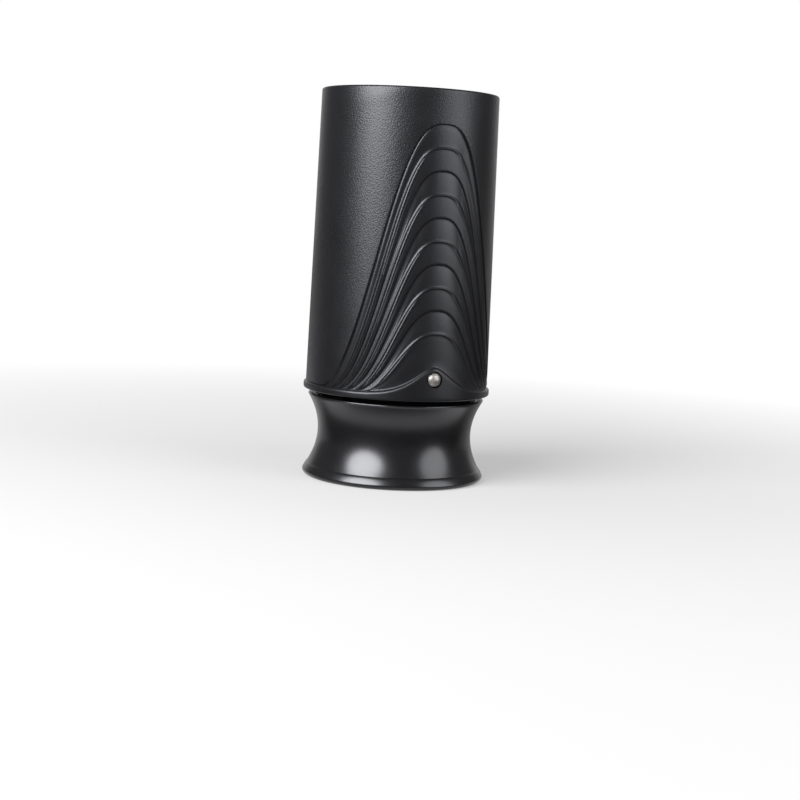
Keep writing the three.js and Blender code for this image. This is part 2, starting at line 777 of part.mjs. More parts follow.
const buildCrank = () => {
  const spanX = [shaftX + seat, pumpSpanX[1] - crankSetBack];
  const inner = pumpHalfY - crankWall;
  let crankcase = box(spanX, pumpSpanY, [crankBottom, crankTop]);
  const cavityX = [spanX[0] + crankFloor, spanX[1] + over];
  const cavityZ = [crankBottom + crankFloor, crankTop - crankFloor];
  crankcase = crankcase.subtract(box(cavityX, [-inner, inner], cavityZ));
  const port = cylinder(crankPort, crankBottom - over, cavityZ[0] + over, [pumpX, 0], boreSides);
  crankcase = crankcase.subtract(port);
  crankcase = crankcase.subtract(barX(motorBoss + seat, [shaftX, cavityX[0] + over], 0, shaftHeight));
  for (const at of pumpScrews) {
    const threadTop = crankBottom + pumpScrewGrip + seat;
    const hole = cylinder(pumpScrewShank + seat, crankBottom - over, threadTop, at, screwSides);
    crankcase = crankcase.subtract(hole);
  }
  place('crankcase', crankcase, whitePlastic);
  const coverX = [spanX[1] + seat, spanX[1] + seat + coverPlate];
  place('crankcase_cover', box(coverX, pumpSpanY, [crankBottom, crankTop]), whitePlastic);

  pumpScrews.forEach((at, i) => {
    const headBase = headBottom + seat;
    const screw = cylinder(pumpScrewHead, headBase, headBase + pumpScrewHeadHeight, at, screwSides)
      .add(cylinder(pumpScrewShank, headBase, crankBottom + pumpScrewGrip, at, holeSides));
    place(`pump_screw_${i + 1}`, screw, steel);
  });

  const eccentricX = [pumpX - eccentricWidth / 2, pumpX + eccentricWidth / 2];
  const shaftEnd = eccentricX[1] + shaftTail;
  place('motor_shaft', barX(shaftRadius, [motorBack + seat, shaftEnd], 0, shaftHeight), steel);
  const throughX = [eccentricX[0] - over, eccentricX[1] + over];
  const eccentric = barX(eccentricRadius, eccentricX, 0, ringCentre, boreSides)
    .subtract(barX(shaftRadius + seat, throughX, 0, shaftHeight));
  place('eccentric', eccentric, brass);

  const screwTop = footBottom - seat - diaphragmThickness - seat + pistonScrewLength;
  const conRod = barX(ringBore + rodRing, eccentricX, 0, ringCentre, ringSides)
    .add(cylinder(rodFootRadius, footBottom, footTop, [pumpX, 0]))
    .add(cylinder(rodStem, footBottom, ringCentre - ringBore - rodRing / 2, [pumpX, 0]))
    .subtract(barX(ringBore, throughX, 0, ringCentre, ringSides))
    .subtract(cylinder(pistonScrewShank + seat, footBottom - over, screwTop + seat, [pumpX, 0]));
  place('con_rod', conRod, moulding);

  const headUnder = footBottom - diaphragmThickness - 2 * seat;
  const pistonScrew = cylinder(pistonScrewHeadRadius, headUnder - pistonScrewHead, headUnder, [pumpX, 0])
    .add(cylinder(pistonScrewShank, headUnder - pistonScrewHead, screwTop, [pumpX, 0]));
  place('piston_screw', pistonScrew, steel);
};

// ---- Motor ----

const canSection = radius => {
  const half = motorFlat / 2;
  const angle = Math.asin(half / radius);
  const shape = new THREE.Shape();
  shape.absarc(0, 0, radius, -angle, angle);
  shape.absarc(0, 0, radius, Math.PI - angle, Math.PI + angle);
  shape.closePath();
  return shape;
};

// The flattened round section, pushed along X.
const canBar = (radius, [x0, x1]) =>
  solidOf(new THREE.ExtrudeGeometry(canSection(radius), {
    depth: x1 - x0,
    curveSegments: canSegments,
    bevelEnabled: false,
  }).rotateZ(Math.PI / 2).rotateY(Math.PI / 2).translate(x0, 0, shaftHeight));

const buildMotor = () => {
  const hollowRadius = rotorRadius + rotorGap;
  const can = canBar(motorRadius, [motorBack, shaftX])
    .add(barX(motorBoss, [shaftX - canFront, shaftX + crankFloor], 0, shaftHeight))
    .subtract(barX(hollowRadius, [motorBack - over, shaftX - canFront], 0, shaftHeight, ringSides))
    .subtract(barX(shaftRadius + seat, [motorBack, shaftX + 2 * crankFloor], 0, shaftHeight));
  place('motor_can', can, nickel);
  const rotorFront = shaftX - canFront - rotorGap;
  const rotor = barX(rotorRadius, [rotorFront - rotorLength, rotorFront], 0, shaftHeight, ringSides)
    .subtract(barX(shaftRadius + seat, [motorBack, shaftX], 0, shaftHeight));
  place('motor_rotor', rotor, steel);
  const capBack = motorBack - seat - endCapLength;
  place('motor_end_cap', canBar(motorRadius - seat, [capBack, motorBack - seat]), whitePlastic);
  const tab = [capBack - seat - terminalLength, capBack - seat];
  [-1, 1].forEach((side, i) => {
    const y = side * terminalY;
    const tabY = [y - terminalHalfY, y + terminalHalfY];
    const tabTop = shaftHeight + terminalHalfZ;
    place(`motor_terminal_${i + 1}`, box(tab, tabY, [shaftHeight - terminalHalfZ, tabTop]), brass);
    const x = (tab[0] + tab[1]) / 2;
    const route = new THREE.CatmullRomCurve3([
      new THREE.Vector3(x, y, tabTop + seat),
      new THREE.Vector3(x, y, boardBottom - wireBend),
      new THREE.Vector3(x + wireLean, y, boardBottom + boardThickness / 2),
      new THREE.Vector3(-boardHalfX - seat, y, boardBottom + boardThickness / 2),
    ]);
    place(`motor_wire_${i + 1}`, rod(route, wireRadius, wireSteps), i ? wireRed : rubber);
  });
};

// ---- Switch and control board ----

const buildElectrics = () => {
  const x = [-rodCircle - switchHalfX, -rodCircle + switchHalfX];
  const y = [-switchHalfY, switchHalfY];
  const plungerX = [-rodCircle - plungerHalfX, -rodCircle + plungerHalfX];
  const plungerY = [-plungerHalfY, plungerHalfY];
  const slotX = [plungerX[0] - seat, plungerX[1] + seat];
  const slotY = [plungerY[0] - seat, plungerY[1] + seat];
  const slot = box(slotX, slotY, [switchBottom - over, plungerTop + collarTravel + seat]);
  place('switch_case', box(x, y, [switchBottom, switchTop]).subtract(slot), collarBlack);
  place('switch_plunger', box(plungerX, plungerY, [plungerBottom, plungerTop]), whitePlastic);

  const boardX = [-boardHalfX, boardHalfX];
  const boardY = [-boardHalfY, boardHalfY];
  place('control_board', box(boardX, boardY, [boardBottom, boardTop]), boardGreen);
  const chip = [-chipHalf, chipHalf];
  place('driver_chip', box(chip, chip, [chipBottom, chipBottom + chipHeight]), rubber);
};

// ---- Batteries ----

const cell = (bottom, nippleUp) => {
  const body = cellLength - cellNipple;
  const low = nippleUp ? bottom : bottom + cellNipple;
  const r = cellRadius;
  const c = cellChamfer;
  const can = turned([
    [0, low],
    [r - c, low],
    [r, low + c],
    [r, low + body - c],
    [r - c, low + body],
    [0, low + body],
  ], smallSides);
  const nipple = nippleUp
    ? cylinder(cellNippleRadius, low + body - over, bottom + cellLength, [0, 0], screwSides)
    : cylinder(cellNippleRadius, bottom, low + over, [0, 0], screwSides);
  return can.add(nipple);
};

const buildBatteries = () => {
  place('battery_carrier', turned([
    [0, carrierBottom],
    [carrierRadius, carrierBottom],
    [carrierRadius, carrierBottom + carrierDisc],
    [carrierPost, carrierBottom + carrierDisc],
    [carrierPost, carrierTopBottom],
    [carrierTopRadius, carrierTopBottom],
    [carrierTopRadius, carrierTopBottom + carrierTopDisc],
    [0, carrierTopBottom + carrierTopDisc],
  ], ringSides), moulding);

  const c = cellOffset;
  const places = [[-c, c], [c, c], [c, -c], [-c, -c]];
  places.forEach(([x, y], i) => {
    const nippleUp = i % 2 === 0;
    const springBottom = nippleUp ? lowContactTop + seat : upContactBottom - seat - cellSpring;
    const cellBottom = nippleUp ? springBottom + cellSpring + seat : lowContactTop + seat;
    const springTop = springBottom + cellSpring;
    const spring = coil(cellRadius / 2, cellSpringWire, springBottom, springTop, cellSpringTurns);
    place(`battery_cell_${i + 1}`, cell(cellBottom, nippleUp).translate([x, y, 0]), cellWrap);
    place(`battery_spring_${i + 1}`, spring.translate([x, y, 0]), nickel);
  });

  const half = contactWidth / 2;
  const reach = c + half;
  const low = [lowContactBottom, lowContactTop];
  const up = [upContactBottom, upContactTop];
  place('contact_strip_1', box([-reach, reach], [c - half, c + half], up), nickel);
  place('contact_strip_2', box([-reach, reach], [-c - half, -c + half], up), nickel);
  place('contact_strip_3', box([c - half, c + half], [-reach, reach], low), nickel);
  place('contact_tab_1', box([-c - half, -c + half], [c - half, c + half], low), nickel);
  place('contact_tab_2', box([-c - half, -c + half], [-c - half, -c + half], low), nickel);
};

// ---- Battery cover ----

const buildCover = () => {
  const skirtOuter = ledgeRadius - seat;
  const skirtInner = skirtOuter - coverSkirt;
  const discRadius = openingRadius - seat;
  let cover = turned([
    [0, coverBottom],
    [skirtInner, coverBottom],
    [skirtInner, coverSkirtBottom],
    [skirtOuter, coverSkirtBottom],
    [skirtOuter, coverBottom],
    [discRadius, coverBottom],
    [discRadius, coverTop - coverEdge],
    [discRadius - coverEdge, coverTop],
    [0, coverTop],
  ]);
  for (const angle of lugAngles) {
    const reach = [skirtInner + coverSkirt / 2, openingRadius - lugInset];
    cover = cover.add(turnZ(box(reach, [-lugHalf, lugHalf], [coverSkirtBottom, lugTop]), angle));
  }
  const slotX = [-coinLength / 2, coinLength / 2];
  const slotY = [-coinWidth / 2, coinWidth / 2];
  cover = cover.subtract(box(slotX, slotY, [coverTop - coinDepth, coverTop + over]));
  place('battery_cover', cover, housingBlack);

  const sealBottom = ledgeTop + seat;
  const sealTop = sealBottom + coverSealThickness;
  place('cover_seal', turned([
    [ledgeRadius + seat, sealBottom],
    [discRadius, sealBottom],
    [discRadius, sealTop],
    [ledgeRadius + seat, sealTop],
  ], ringSides), silicone);
};

buildShell();
buildCollar();
buildSeal();
buildPushRod();
buildBasePlate();
buildScrews();
buildRelease();
buildPumpHead();
buildValves();
buildCrank();
buildMotor();
buildElectrics();
buildBatteries();
buildCover();

export default part;
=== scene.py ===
from math import cos, exp, hypot, pi, radians, sin

import bmesh
import bpy
from mathutils import Matrix, Quaternion, Vector


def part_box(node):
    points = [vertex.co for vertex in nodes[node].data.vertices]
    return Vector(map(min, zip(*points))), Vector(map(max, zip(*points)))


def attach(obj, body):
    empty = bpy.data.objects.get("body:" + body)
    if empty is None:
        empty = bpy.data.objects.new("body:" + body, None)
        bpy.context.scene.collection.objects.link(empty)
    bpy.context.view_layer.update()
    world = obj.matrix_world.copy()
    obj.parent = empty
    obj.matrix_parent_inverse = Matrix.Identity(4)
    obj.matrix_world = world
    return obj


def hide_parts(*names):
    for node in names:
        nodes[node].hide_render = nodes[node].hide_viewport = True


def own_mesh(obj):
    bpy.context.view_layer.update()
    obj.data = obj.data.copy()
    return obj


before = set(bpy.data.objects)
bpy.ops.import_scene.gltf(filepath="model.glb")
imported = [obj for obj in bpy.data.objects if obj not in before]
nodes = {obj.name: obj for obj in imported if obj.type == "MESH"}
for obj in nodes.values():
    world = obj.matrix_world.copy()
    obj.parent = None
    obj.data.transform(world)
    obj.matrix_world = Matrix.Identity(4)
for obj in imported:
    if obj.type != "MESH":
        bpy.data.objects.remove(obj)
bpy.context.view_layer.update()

scene = bpy.context.scene
mm = 0.001
domeCentre = sum(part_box("release_button"), Vector()) / 2 / mm
print("frame loaded:", len(nodes), "nodes")


# A socket that can be used in sums: each operator adds one Math node.
class Wire:
    def __init__(self, sheet, socket):
        self.sheet = sheet
        self.socket = socket

    def __add__(self, other):
        return self.sheet.maths("ADD", self, other)

    def __sub__(self, other):
        return self.sheet.maths("SUBTRACT", self, other)

    def __rsub__(self, other):
        return self.sheet.maths("SUBTRACT", other, self)

    def __mul__(self, other):
        return self.sheet.maths("MULTIPLY", self, other)

    def __truediv__(self, other):
        return self.sheet.maths("DIVIDE", self, other)

    __radd__ = __add__

    def between(self, low, high):  # 0 at low, 1 at high, held outside
        return self.sheet.maths("MULTIPLY", self - low, 1 / (high - low), clamp=True)


# A node tree whose nodes are all added through one method.
class Sheet:
    def __init__(self, tree):
        self.tree = tree

    def add(self, kind, settings=None, values=None, output=0):
        node = self.tree.nodes.new(kind)
        for name, setting in (settings or {}).items():
            setattr(node, name, setting)
        for name, value in (values or {}).items():
            self.feed(node.inputs[name], value)
        return Wire(self, node.outputs[output])

    def feed(self, socket, value):
        if isinstance(value, Wire):
            self.tree.links.new(value.socket, socket)
        elif isinstance(value, tuple) and len(value) == 3 and socket.type == "RGBA":
            socket.default_value = (*value, 1)
        else:
            socket.default_value = value

    def maths(self, operation, first, second=0, clamp=False):
        settings = {"operation": operation, "use_clamp": clamp}
        return self.add("ShaderNodeMath", settings, {0: first, 1: second})

    def vectors(self, operation, *terms, output=0):
        return self.add("ShaderNodeVectorMath", {"operation": operation}, dict(enumerate(terms)), output)

    def rays(self, kind):  # 1 for light of this kind, else 0
        return self.add("ShaderNodeLightPath", output=f"Is {kind} Ray")


socketNames = {
    "colour": "Base Color", "roughness": "Roughness", "metallic": "Metallic", "normal": "Normal",
    "specular": "Specular IOR Level", "specularTint": "Specular Tint",
}


# A material and the patterns that feed its shader.
class Finish(Sheet):
    def __init__(self, name):
        self.material = bpy.data.materials.new(name)
        self.material.use_nodes = True
        super().__init__(self.material.node_tree)
        self.shader = self.tree.nodes["Principled BSDF"]
        self.place = self.add("ShaderNodeTexCoord", output="Object")

    def made(self, **values):
        for name, value in values.items():
            self.feed(self.shader.inputs[socketNames[name]], value)
        return self.material

    def stretched(self, scale, centre=(0, 0, 0)):
        return self.vectors("MULTIPLY", self.vectors("SUBTRACT", self.place, centre), scale)

    def noise(self, size, detail=2, place=None, roughness=0.5):
        values = {"Vector": place or self.place, "Scale": 1 / size, "Detail": detail, "Roughness": roughness}
        return self.add("ShaderNodeTexNoise", {}, values, "Fac")

    def mix(self, factor, low, high):  # sockets 6, 7 and 2 are the node's colours
        return self.add("ShaderNodeMix", {"data_type": "RGBA"}, {0: factor, 6: low, 7: high}, 2)

    def bump(self, height, depth, under=None):
        values = {"Height": height, "Distance": depth}
        if under:
            values["Normal"] = under
        return self.add("ShaderNodeBump", {}, values, "Normal")


def shade(colour, factor):
    return tuple(channel * factor for channel in colour)


housingLook = {
    "colour": (0.0055, 0.0055, 0.0066), "roughness": 0.36, "specular": 0.64, "tint": (0.92, 0.94, 1.0),
    "grain": 0.36 * mm, "depth": 0.052 * mm,
    "calmer": 0.6,  # how much the grain fades within the arches
    "cloud": 9 * mm,
}

collarLook = {
    "colour": (0.004, 0.004, 0.0046), "roughness": 0.25, "specular": 0.84, "tint": (0.94, 0.95, 1.0),
    "grain": 0.9 * mm, "depth": 0.002 * mm, "ripple": 7 * mm, "rippleDepth": 0.02 * mm, "cloud": 6 * mm,
}

pearlLook = {
    "dark": (0.36, 0.34, 0.325), "light": (0.56, 0.53, 0.51), "metallic": 0.85, "roughness": 0.44,
    "cloud": 0.9 * mm,
    "ring": 0.16 * mm,  # from one turning mark to the next
    "depth": 0.0012 * mm,
}


def housingFinish():
    look = housingLook
    finish = Finish("housingCharcoal")
    clouds = finish.noise(look["cloud"], 4)
    fine = finish.noise(look["grain"], 1) - 0.5
    relief = finish.add("ShaderNodeAttribute", {"attribute_name": "arched"}, output="Fac")
    fine = fine * (1 - relief * look["calmer"])
    return finish.made(
        colour=finish.mix(clouds, shade(look["colour"], 0.85), shade(look["colour"], 1.15)),
        roughness=look["roughness"] + (clouds - 0.5) * 0.08 + fine * 0.10,
        specular=look["specular"],
        specularTint=look["tint"],
        normal=finish.bump(fine, look["depth"]),
    )


def collarFinish():
    look = collarLook
    finish = Finish("collarBlack")
    clouds = finish.noise(look["cloud"], 4)
    ripple = finish.noise(look["ripple"], 1)
    fine = finish.noise(look["grain"], 3)
    smooth = finish.bump(ripple, look["rippleDepth"])
    return finish.made(
        colour=finish.mix(clouds, shade(look["colour"], 0.8), shade(look["colour"], 1.2)),
        roughness=look["roughness"] + (clouds - 0.5) * 0.06 + (fine - 0.5) * 0.05,
        specular=look["specular"],
        specularTint=look["tint"],
        normal=finish.bump(fine, look["depth"], under=smooth),
    )


# Satin metal skin, turned: fine rings about the button's own axis, a few darker clouds.
def pearlFinish():
    look = pearlLook
    finish = Finish("releasePearl")
    clouds = finish.noise(look["cloud"], 3)
    reach = finish.vectors("LENGTH", finish.stretched((1, 0, 1), domeCentre * mm), output="Value")
    rings = finish.maths("SINE", reach * (2 * pi / look["ring"]))
    return finish.made(
        colour=finish.mix(clouds.between(0.35, 0.65), look["dark"], look["light"]),
        metallic=look["metallic"],
        roughness=look["roughness"] + (clouds - 0.5) * 0.14,
        normal=finish.bump(rings, look["depth"]),
    )


# Each finish's colour, its spread, roughness and specular, then the clouds, grain and bump in mm.
plainLooks = {
    "moulding": ((0.030, 0.030, 0.033), 0.12, 0.5, 0.5, 5, 0.3, 0.01),
    "whitePlastic": ((0.70, 0.69, 0.65), 0.04, 0.45, 0.5, 4, 0.25, 0.008),
    "silicone": ((0.27, 0.28, 0.29), 0.06, 0.62, 0.5, 3, 0.2, 0.006),
    "rubber": ((0.022, 0.022, 0.022), 0.12, 0.7, 0.5, 2, 0.2, 0.01),
    "chip": ((0.018, 0.018, 0.019), 0.12, 0.62, 0.5, 1.5, 0.1, 0.012),
    "wireBlack": ((0.020, 0.020, 0.021), 0.12, 0.42, 0.5, 2, 0.35, 0.012),
    # painted shade: near black and almost without gloss, for the skirt in the gap over the collar
    "dustRing": ((0.004, 0.004, 0.004), 0.12, 0.9, 0.08, 1, 0.2, 0.02),
    "wireRed": ((0.42, 0.025, 0.018), 0.07, 0.42, 0.5, 2, 0.35, 0.012),
}


# Moulded, cast or coated stuff: clouded colour, uneven gloss and a fine grain.
def plainFinish(name, look):
    colour, spread, roughness, specular, cloud, grain, depth = look
    finish = Finish(name)
    clouds = finish.noise(cloud * mm, 3)
    fine = finish.noise(grain * mm, 2)
    return finish.made(
        colour=finish.mix(clouds, shade(colour, 1 - spread), shade(colour, 1 + spread)),
        roughness=roughness + (clouds - 0.5) * 0.1 + (fine - 0.5) * 0.06,
        specular=specular,
        normal=finish.bump(fine, depth * mm),
    )


# Each metal's colour, tarnish, roughness, marks in mm, how much finer they are along X, Y and Z, bump in mm.
metalLooks = {
    "steel": ((0.56, 0.56, 0.575), (0.40, 0.39, 0.385), 0.27, 0.5, (1, 1, 9), 0.003),
    "motorSteel": ((0.60, 0.595, 0.57), (0.44, 0.43, 0.40), 0.30, 1.2, (14, 1, 1), 0.004),
    "nickel": ((0.69, 0.68, 0.65), (0.50, 0.48, 0.44), 0.22, 0.8, (1, 1, 6), 0.002),
    "brass": ((0.72, 0.50, 0.20), (0.46, 0.29, 0.11), 0.30, 0.6, (10, 1, 1), 0.004),
}
metalPatch = 2.5 * mm


# Bare metal with fine machining marks one way and dull patches.
def metalFinish(name, look):
    colour, tarnish, roughness, size, finer, depth = look
    finish = Finish(name)
    patches = finish.noise(metalPatch, 4)
    marks = finish.noise(size * mm, 3, finish.stretched(finer))
    return finish.made(
        colour=finish.mix(patches.between(0.45, 0.75), colour, tarnish),
        metallic=1.0,
        roughness=roughness + (marks - 0.5) * 0.14 + patches.between(0.5, 0.8) * 0.10,
        normal=finish.bump(marks, depth * mm),
    )


rotorLook = {
    "steel": (0.24, 0.23, 0.22), "copper": (0.55, 0.22, 0.08), "roughness": 0.38,
    "ends": (0.36, 0.38),  # where steel turns to copper, from the middle, in shares of the length
    "sheet": 0.4 * mm, "turn": 0.3 * mm, "depth": 0.06 * mm,
}


# Steel sheets stacked along the motor shaft, with copper turns at both ends.
def rotorFinish():
    look = rotorLook
    finish = Finish("rotorStack")
    low, high = (corner.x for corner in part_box("motor_rotor"))
    along = finish.add("ShaderNodeSeparateXYZ", {}, {0: finish.place}, "X")
    toEnd = finish.maths("ABSOLUTE", along - (low + high) / 2)
    copper = toEnd.between(*((high - low) * share for share in look["ends"]))
    sheets = finish.maths("SINE", along * (2 * pi / look["sheet"]))
    turns = finish.noise(look["turn"], 2, finish.stretched((1, 6, 6)))
    return finish.made(
        colour=finish.mix(copper, look["steel"], look["copper"]),
        metallic=1.0,
        roughness=look["roughness"] + (turns - 0.5) * 0.2,
        normal=finish.bump(sheets * (1 - copper) * 0.5 + turns * copper, look["depth"]),
    )


boardLook = {
    "mask": (0.012, 0.085, 0.035), "track": (0.035, 0.19, 0.075), "roughness": 0.34, "grid": 1.6 * mm,
    "line": 0.09, "cloud": 2 * mm, "depth": 0.03 * mm,
}


# Green solder mask over copper tracks, seen as slightly lighter lines.
def boardFinish():
    look = boardLook
    finish = Finish("boardGreen")
    layout = {"offset": 0.37, "squash": 0.6, "squash_frequency": 3}
    lines = {
        "Vector": finish.place, "Scale": 1 / look["grid"], "Mortar Size": look["line"], "Mortar Smooth": 0.1,
    }
    clouds = finish.noise(look["cloud"], 3)
    tracks = finish.add("ShaderNodeTexBrick", layout, lines, "Fac") * clouds.between(0.42, 0.5)
    return finish.made(
        colour=finish.mix(tracks, look["mask"], look["track"]),
        roughness=look["roughness"] + (clouds - 0.5) * 0.1,
        normal=finish.bump(tracks, look["depth"]),
    )


feltLook = {
    "dark": (0.46, 0.44, 0.39), "light": (0.80, 0.78, 0.72), "roughness": 0.92, "fibre": 0.12 * mm,
    "stretch": 2.5, "depth": 0.12 * mm,
}


# Pressed fibres: strong fine bump and mottled off-white.
def feltFinish():
    look = feltLook
    finish = Finish("filterFelt")
    fibres = finish.noise(look["fibre"], 4, finish.stretched((1, look["stretch"], 1)), 0.7)
    crossing = finish.noise(look["fibre"], 4, finish.stretched((look["stretch"], 1, 1)), 0.7)
    weave = fibres * 0.5 + crossing * 0.5
    return finish.made(
        colour=finish.mix(weave, look["dark"], look["light"]),
        roughness=look["roughness"],
        normal=finish.bump(weave, look["depth"]),
    )


cellLook = {
    "body": (0.035, 0.055, 0.11), "band": (0.46, 0.40, 0.30), "steel": (0.62, 0.61, 0.59), "metallic": 0.85,
    "roughness": 0.30, "bandWidth": 9 * mm, "bandEdge": 0.05 * mm, "sleeveEdge": 0.1 * mm, "cloud": 3 * mm,
    "grain": 0.5 * mm, "depth": 0.006 * mm,
}


# A plain metallic sleeve: dark blue with a lighter band, bare steel past the shrunk ends.
def cellFinish(name, low, high, bandHigh):
    look = cellLook
    finish = Finish(name)
    height = finish.add("ShaderNodeSeparateXYZ", {}, {0: finish.place}, "Z")
    fade = look["sleeveEdge"]
    sleeve = height.between(low, low + fade) * (1 - height.between(high - fade, high))
    edge = high - look["bandWidth"] if bandHigh else low + look["bandWidth"]
    band = height.between(edge, edge + look["bandEdge"])
    band = band if bandHigh else 1 - band
    clouds = finish.noise(look["cloud"], 3)
    grain = finish.noise(look["grain"], 2, finish.stretched((1, 1, 0.2)))
    return finish.made(
        colour=finish.mix(sleeve, look["steel"], finish.mix(band, look["body"], look["band"])),
        metallic=look["metallic"],
        roughness=look["roughness"] + (clouds - 0.5) * 0.1,
        normal=finish.bump(grain, look["depth"]),
    )


finishes = {
    "housing_black": housingFinish(), "collar_black": collarFinish(), "pearl": pearlFinish(),
    "rotor_steel": rotorFinish(), "board": boardFinish(), "felt": feltFinish(),
}
for looks, make in ((plainLooks, plainFinish), (metalLooks, metalFinish)):
    for name, look in looks.items():
        slot = "".join("_" + letter.lower() if letter.isupper() else letter for letter in name)
        finishes[slot] = make(name, look)
for node in nodes.values():
    for place in node.material_slots:
        if place.material.name in finishes:
            place.material = finishes[place.material.name]
print("finishes made:", len(finishes))


# The same mesh with its edges and faces in a fixed order, which a spin leaves different on each run.
def ordered(bm):
    bm.verts.index_update()
    faces = sorted(([vert.index for vert in face.verts] for face in bm.faces), key=sorted)
    steady = bmesh.new()
    verts = [steady.verts.new(vert.co) for vert in bm.verts]
    for face in faces:
        steady.faces.new([verts[i] for i in face])
    bm.free()
    return steady


# The section's corners are (radius, height, rounding) in mm; it is turned about Z.
def turned(corners, steps=144):
    bm = bmesh.new()
    rounded = {}
    for radius, height, rounding in corners:
        corner = bm.verts.new((radius * mm, 0, height * mm))
        rounded.setdefault(rounding, []).append(corner)
    bm.faces.new(bm.verts[:])
    rounded.pop(0, None)
    for rounding, atCorners in rounded.items():
        bmesh.ops.bevel(
            bm, geom=atCorners, offset=rounding * mm, offset_type="OFFSET", segments=4,
            profile=0.5, affect="VERTICES", material=-1,
        )
    bmesh.ops.delete(bm, geom=bm.faces[:], context="FACES_ONLY")
    axis = [edge for edge in bm.edges if all(abs(v.co.x) < 1e-8 for v in edge.verts)]
    bmesh.ops.delete(bm, geom=axis, context="EDGES")
    bmesh.ops.spin(
        bm, geom=bm.verts[:] + bm.edges[:], cent=(0, 0, 0), axis=(0, 0, 1),
        angle=2 * pi, steps=steps, use_merge=True,
    )
    bm = ordered(bm)
    bmesh.ops.remove_doubles(bm, verts=bm.verts[:], dist=1e-6)
    bmesh.ops.recalc_face_normals(bm, faces=bm.faces[:])
    return bm


def drum(radius, low, high, at=(0, 0), sides=32, turn=None):
    bm = bmesh.new()
    place = (turn or Matrix()) @ Matrix.Translation((at[0] * mm, at[1] * mm, (low + high) / 2 * mm))
    bmesh.ops.create_cone(
        bm, cap_ends=True, segments=sides, radius1=radius * mm, radius2=radius * mm,
        depth=(high - low) * mm, matrix=place,
    )
    return bm


def block(size, centre, turn=0):  # turned about Z, in degrees
    bm = bmesh.new()
    place = Matrix.Rotation(radians(turn), 4, "Z") @ Matrix.Translation(Vector(centre) * mm)
    bmesh.ops.create_cube(bm, size=1, matrix=place @ Matrix.Diagonal((*(Vector(size) * mm), 1)))
    return bm


def meshObject(name, bm):
    mesh = bpy.data.meshes.new(name)
    bm.to_mesh(mesh)
    bm.free()
    piece = bpy.data.objects.new(name, mesh)
    scene.collection.objects.link(piece)
    return piece


# A merged copy of a node's mesh, to build on.
def copied(name, node):
    bm = bmesh.new()
    bm.from_mesh(nodes[node].data)
    bmesh.ops.remove_doubles(bm, verts=bm.verts[:], dist=1e-6)
    return meshObject(name, bm)


# Adds or cuts away the other shapes for good.
def combine(piece, operation, shapes):
    for shape in shapes:
        other = meshObject("shape", shape)
        change = piece.modifiers.new("change", "BOOLEAN")
        change.operation = operation
        change.solver = "EXACT"
        change.object = other
        changed = piece.evaluated_get(bpy.context.evaluated_depsgraph_get())
        mesh = bpy.data.meshes.new_from_object(changed)
        piece.modifiers.clear()
        piece.data = mesh
        bpy.data.objects.remove(other)


# Smooth faces with crisp edges, then the piece's finish and its place in the frame.
def finishPiece(piece, slot, body, stands, look=None, crisp=32):
    mesh = piece.data
    bm = bmesh.new()
    bm.from_mesh(mesh)
    for face in bm.faces:
        face.smooth = True
    for edge in bm.edges:
        edge.smooth = edge.calc_face_angle(0) < radians(crisp)
    bm.to_mesh(mesh)
    bm.free()
    mesh.materials.clear()
    mesh.materials.append(look or finishes[slot])
    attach(piece, body)
    if stands:
        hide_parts(*stands)
    print("made", piece.name, len(mesh.polygons), "faces")


def moved(bm, matrix):
    bmesh.ops.transform(bm, matrix=matrix, verts=bm.verts[:])
    return bm


def bevelled(bm, edges, offset, segments):
    bmesh.ops.bevel(
        bm, geom=edges, offset=offset * mm, offset_type="OFFSET", segments=segments, profile=0.5,
        affect="EDGES", material=-1,
    )
    return bm


def polar(radius, degrees):
    angle = radians(degrees)
    return radius * cos(angle), radius * sin(angle)


def spaced(low, high, count):
    return [low + (high - low) * i / (count - 1) for i in range(count)]


# The housing shell, with the arches on its front.
shellLow, shellHigh = (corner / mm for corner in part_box("body_shell"))

shellForm = {
    "baseRadius": 25.05, "topRadius": 24.0, "wall": 2.2, "lipHeight": 2.0, "edge": 0.6, "lipEdge": 0.4,
    "openingRadius": 20.7, "openingEdge": (0.07, 0.25), "ledgeRadius": 19.4, "ledgeTop": 101.8,
    "ledgeBottom": 100.8, "innerEdge": 0.2, "holeRadius": 2.15, "holeSpan": (15, 30),
    "slotSize": (1.9, 5.4, 1.6),
    "slotPlace": (0.35, -0.5),  # outwards and up from the ledge
    "slotAngles": (0, 120, 240), "bossAngles": (90, 210, 330), "bossCircle": 19.6, "bossRadius": 2.4,
    "bossHeights": (26.7, 32.3), "webThick": 2,
    "webSink": 1,  # how far a web reaches into the wall
    "pilotRadius": 1.2, "pilotTop": 0.7, "ribAngles": (45, 135, 225, 315), "ribThick": 1.6, "ribSink": 0.6,
    "ribInner": 18.9, "shelfInner": 16.9, "ribHeights": (49.9, 97.1),
    "frontHalf": 74,  # degrees each side of the front where the columns are close
    "frontStep": 0.5, "backStep": 3, "plainRows": 14, "lipRows": 8, "merge": 0.012, "degenerate": 0.004,
    "crisp": 65,  # above the steepest fold in the arches, so that their lines stay soft
}

arches = {
    "count": 10, "foot": 24.4, "peak": 95.8, "peakStep": 6.01, "spread": 42.5, "spreadStep": 1.55,
    "outerSpread": 45.5, "power": 2.75, "powerStep": 0.03,
    "lip": (33.0, 17.5, 1.6),  # peak, spread and power of the lip's own line
    "field": -0.25, "fillRows": 3, "swell": 0.03,
    "room": 0.92,  # the share of the way to the next line that a form may fill
    "hold": 2.7,  # a form squeezed to less than 1 / hold of its size fades
    "flank": (0.98, 1.8),  # slant where a line turns from its crest form to its flank form
}

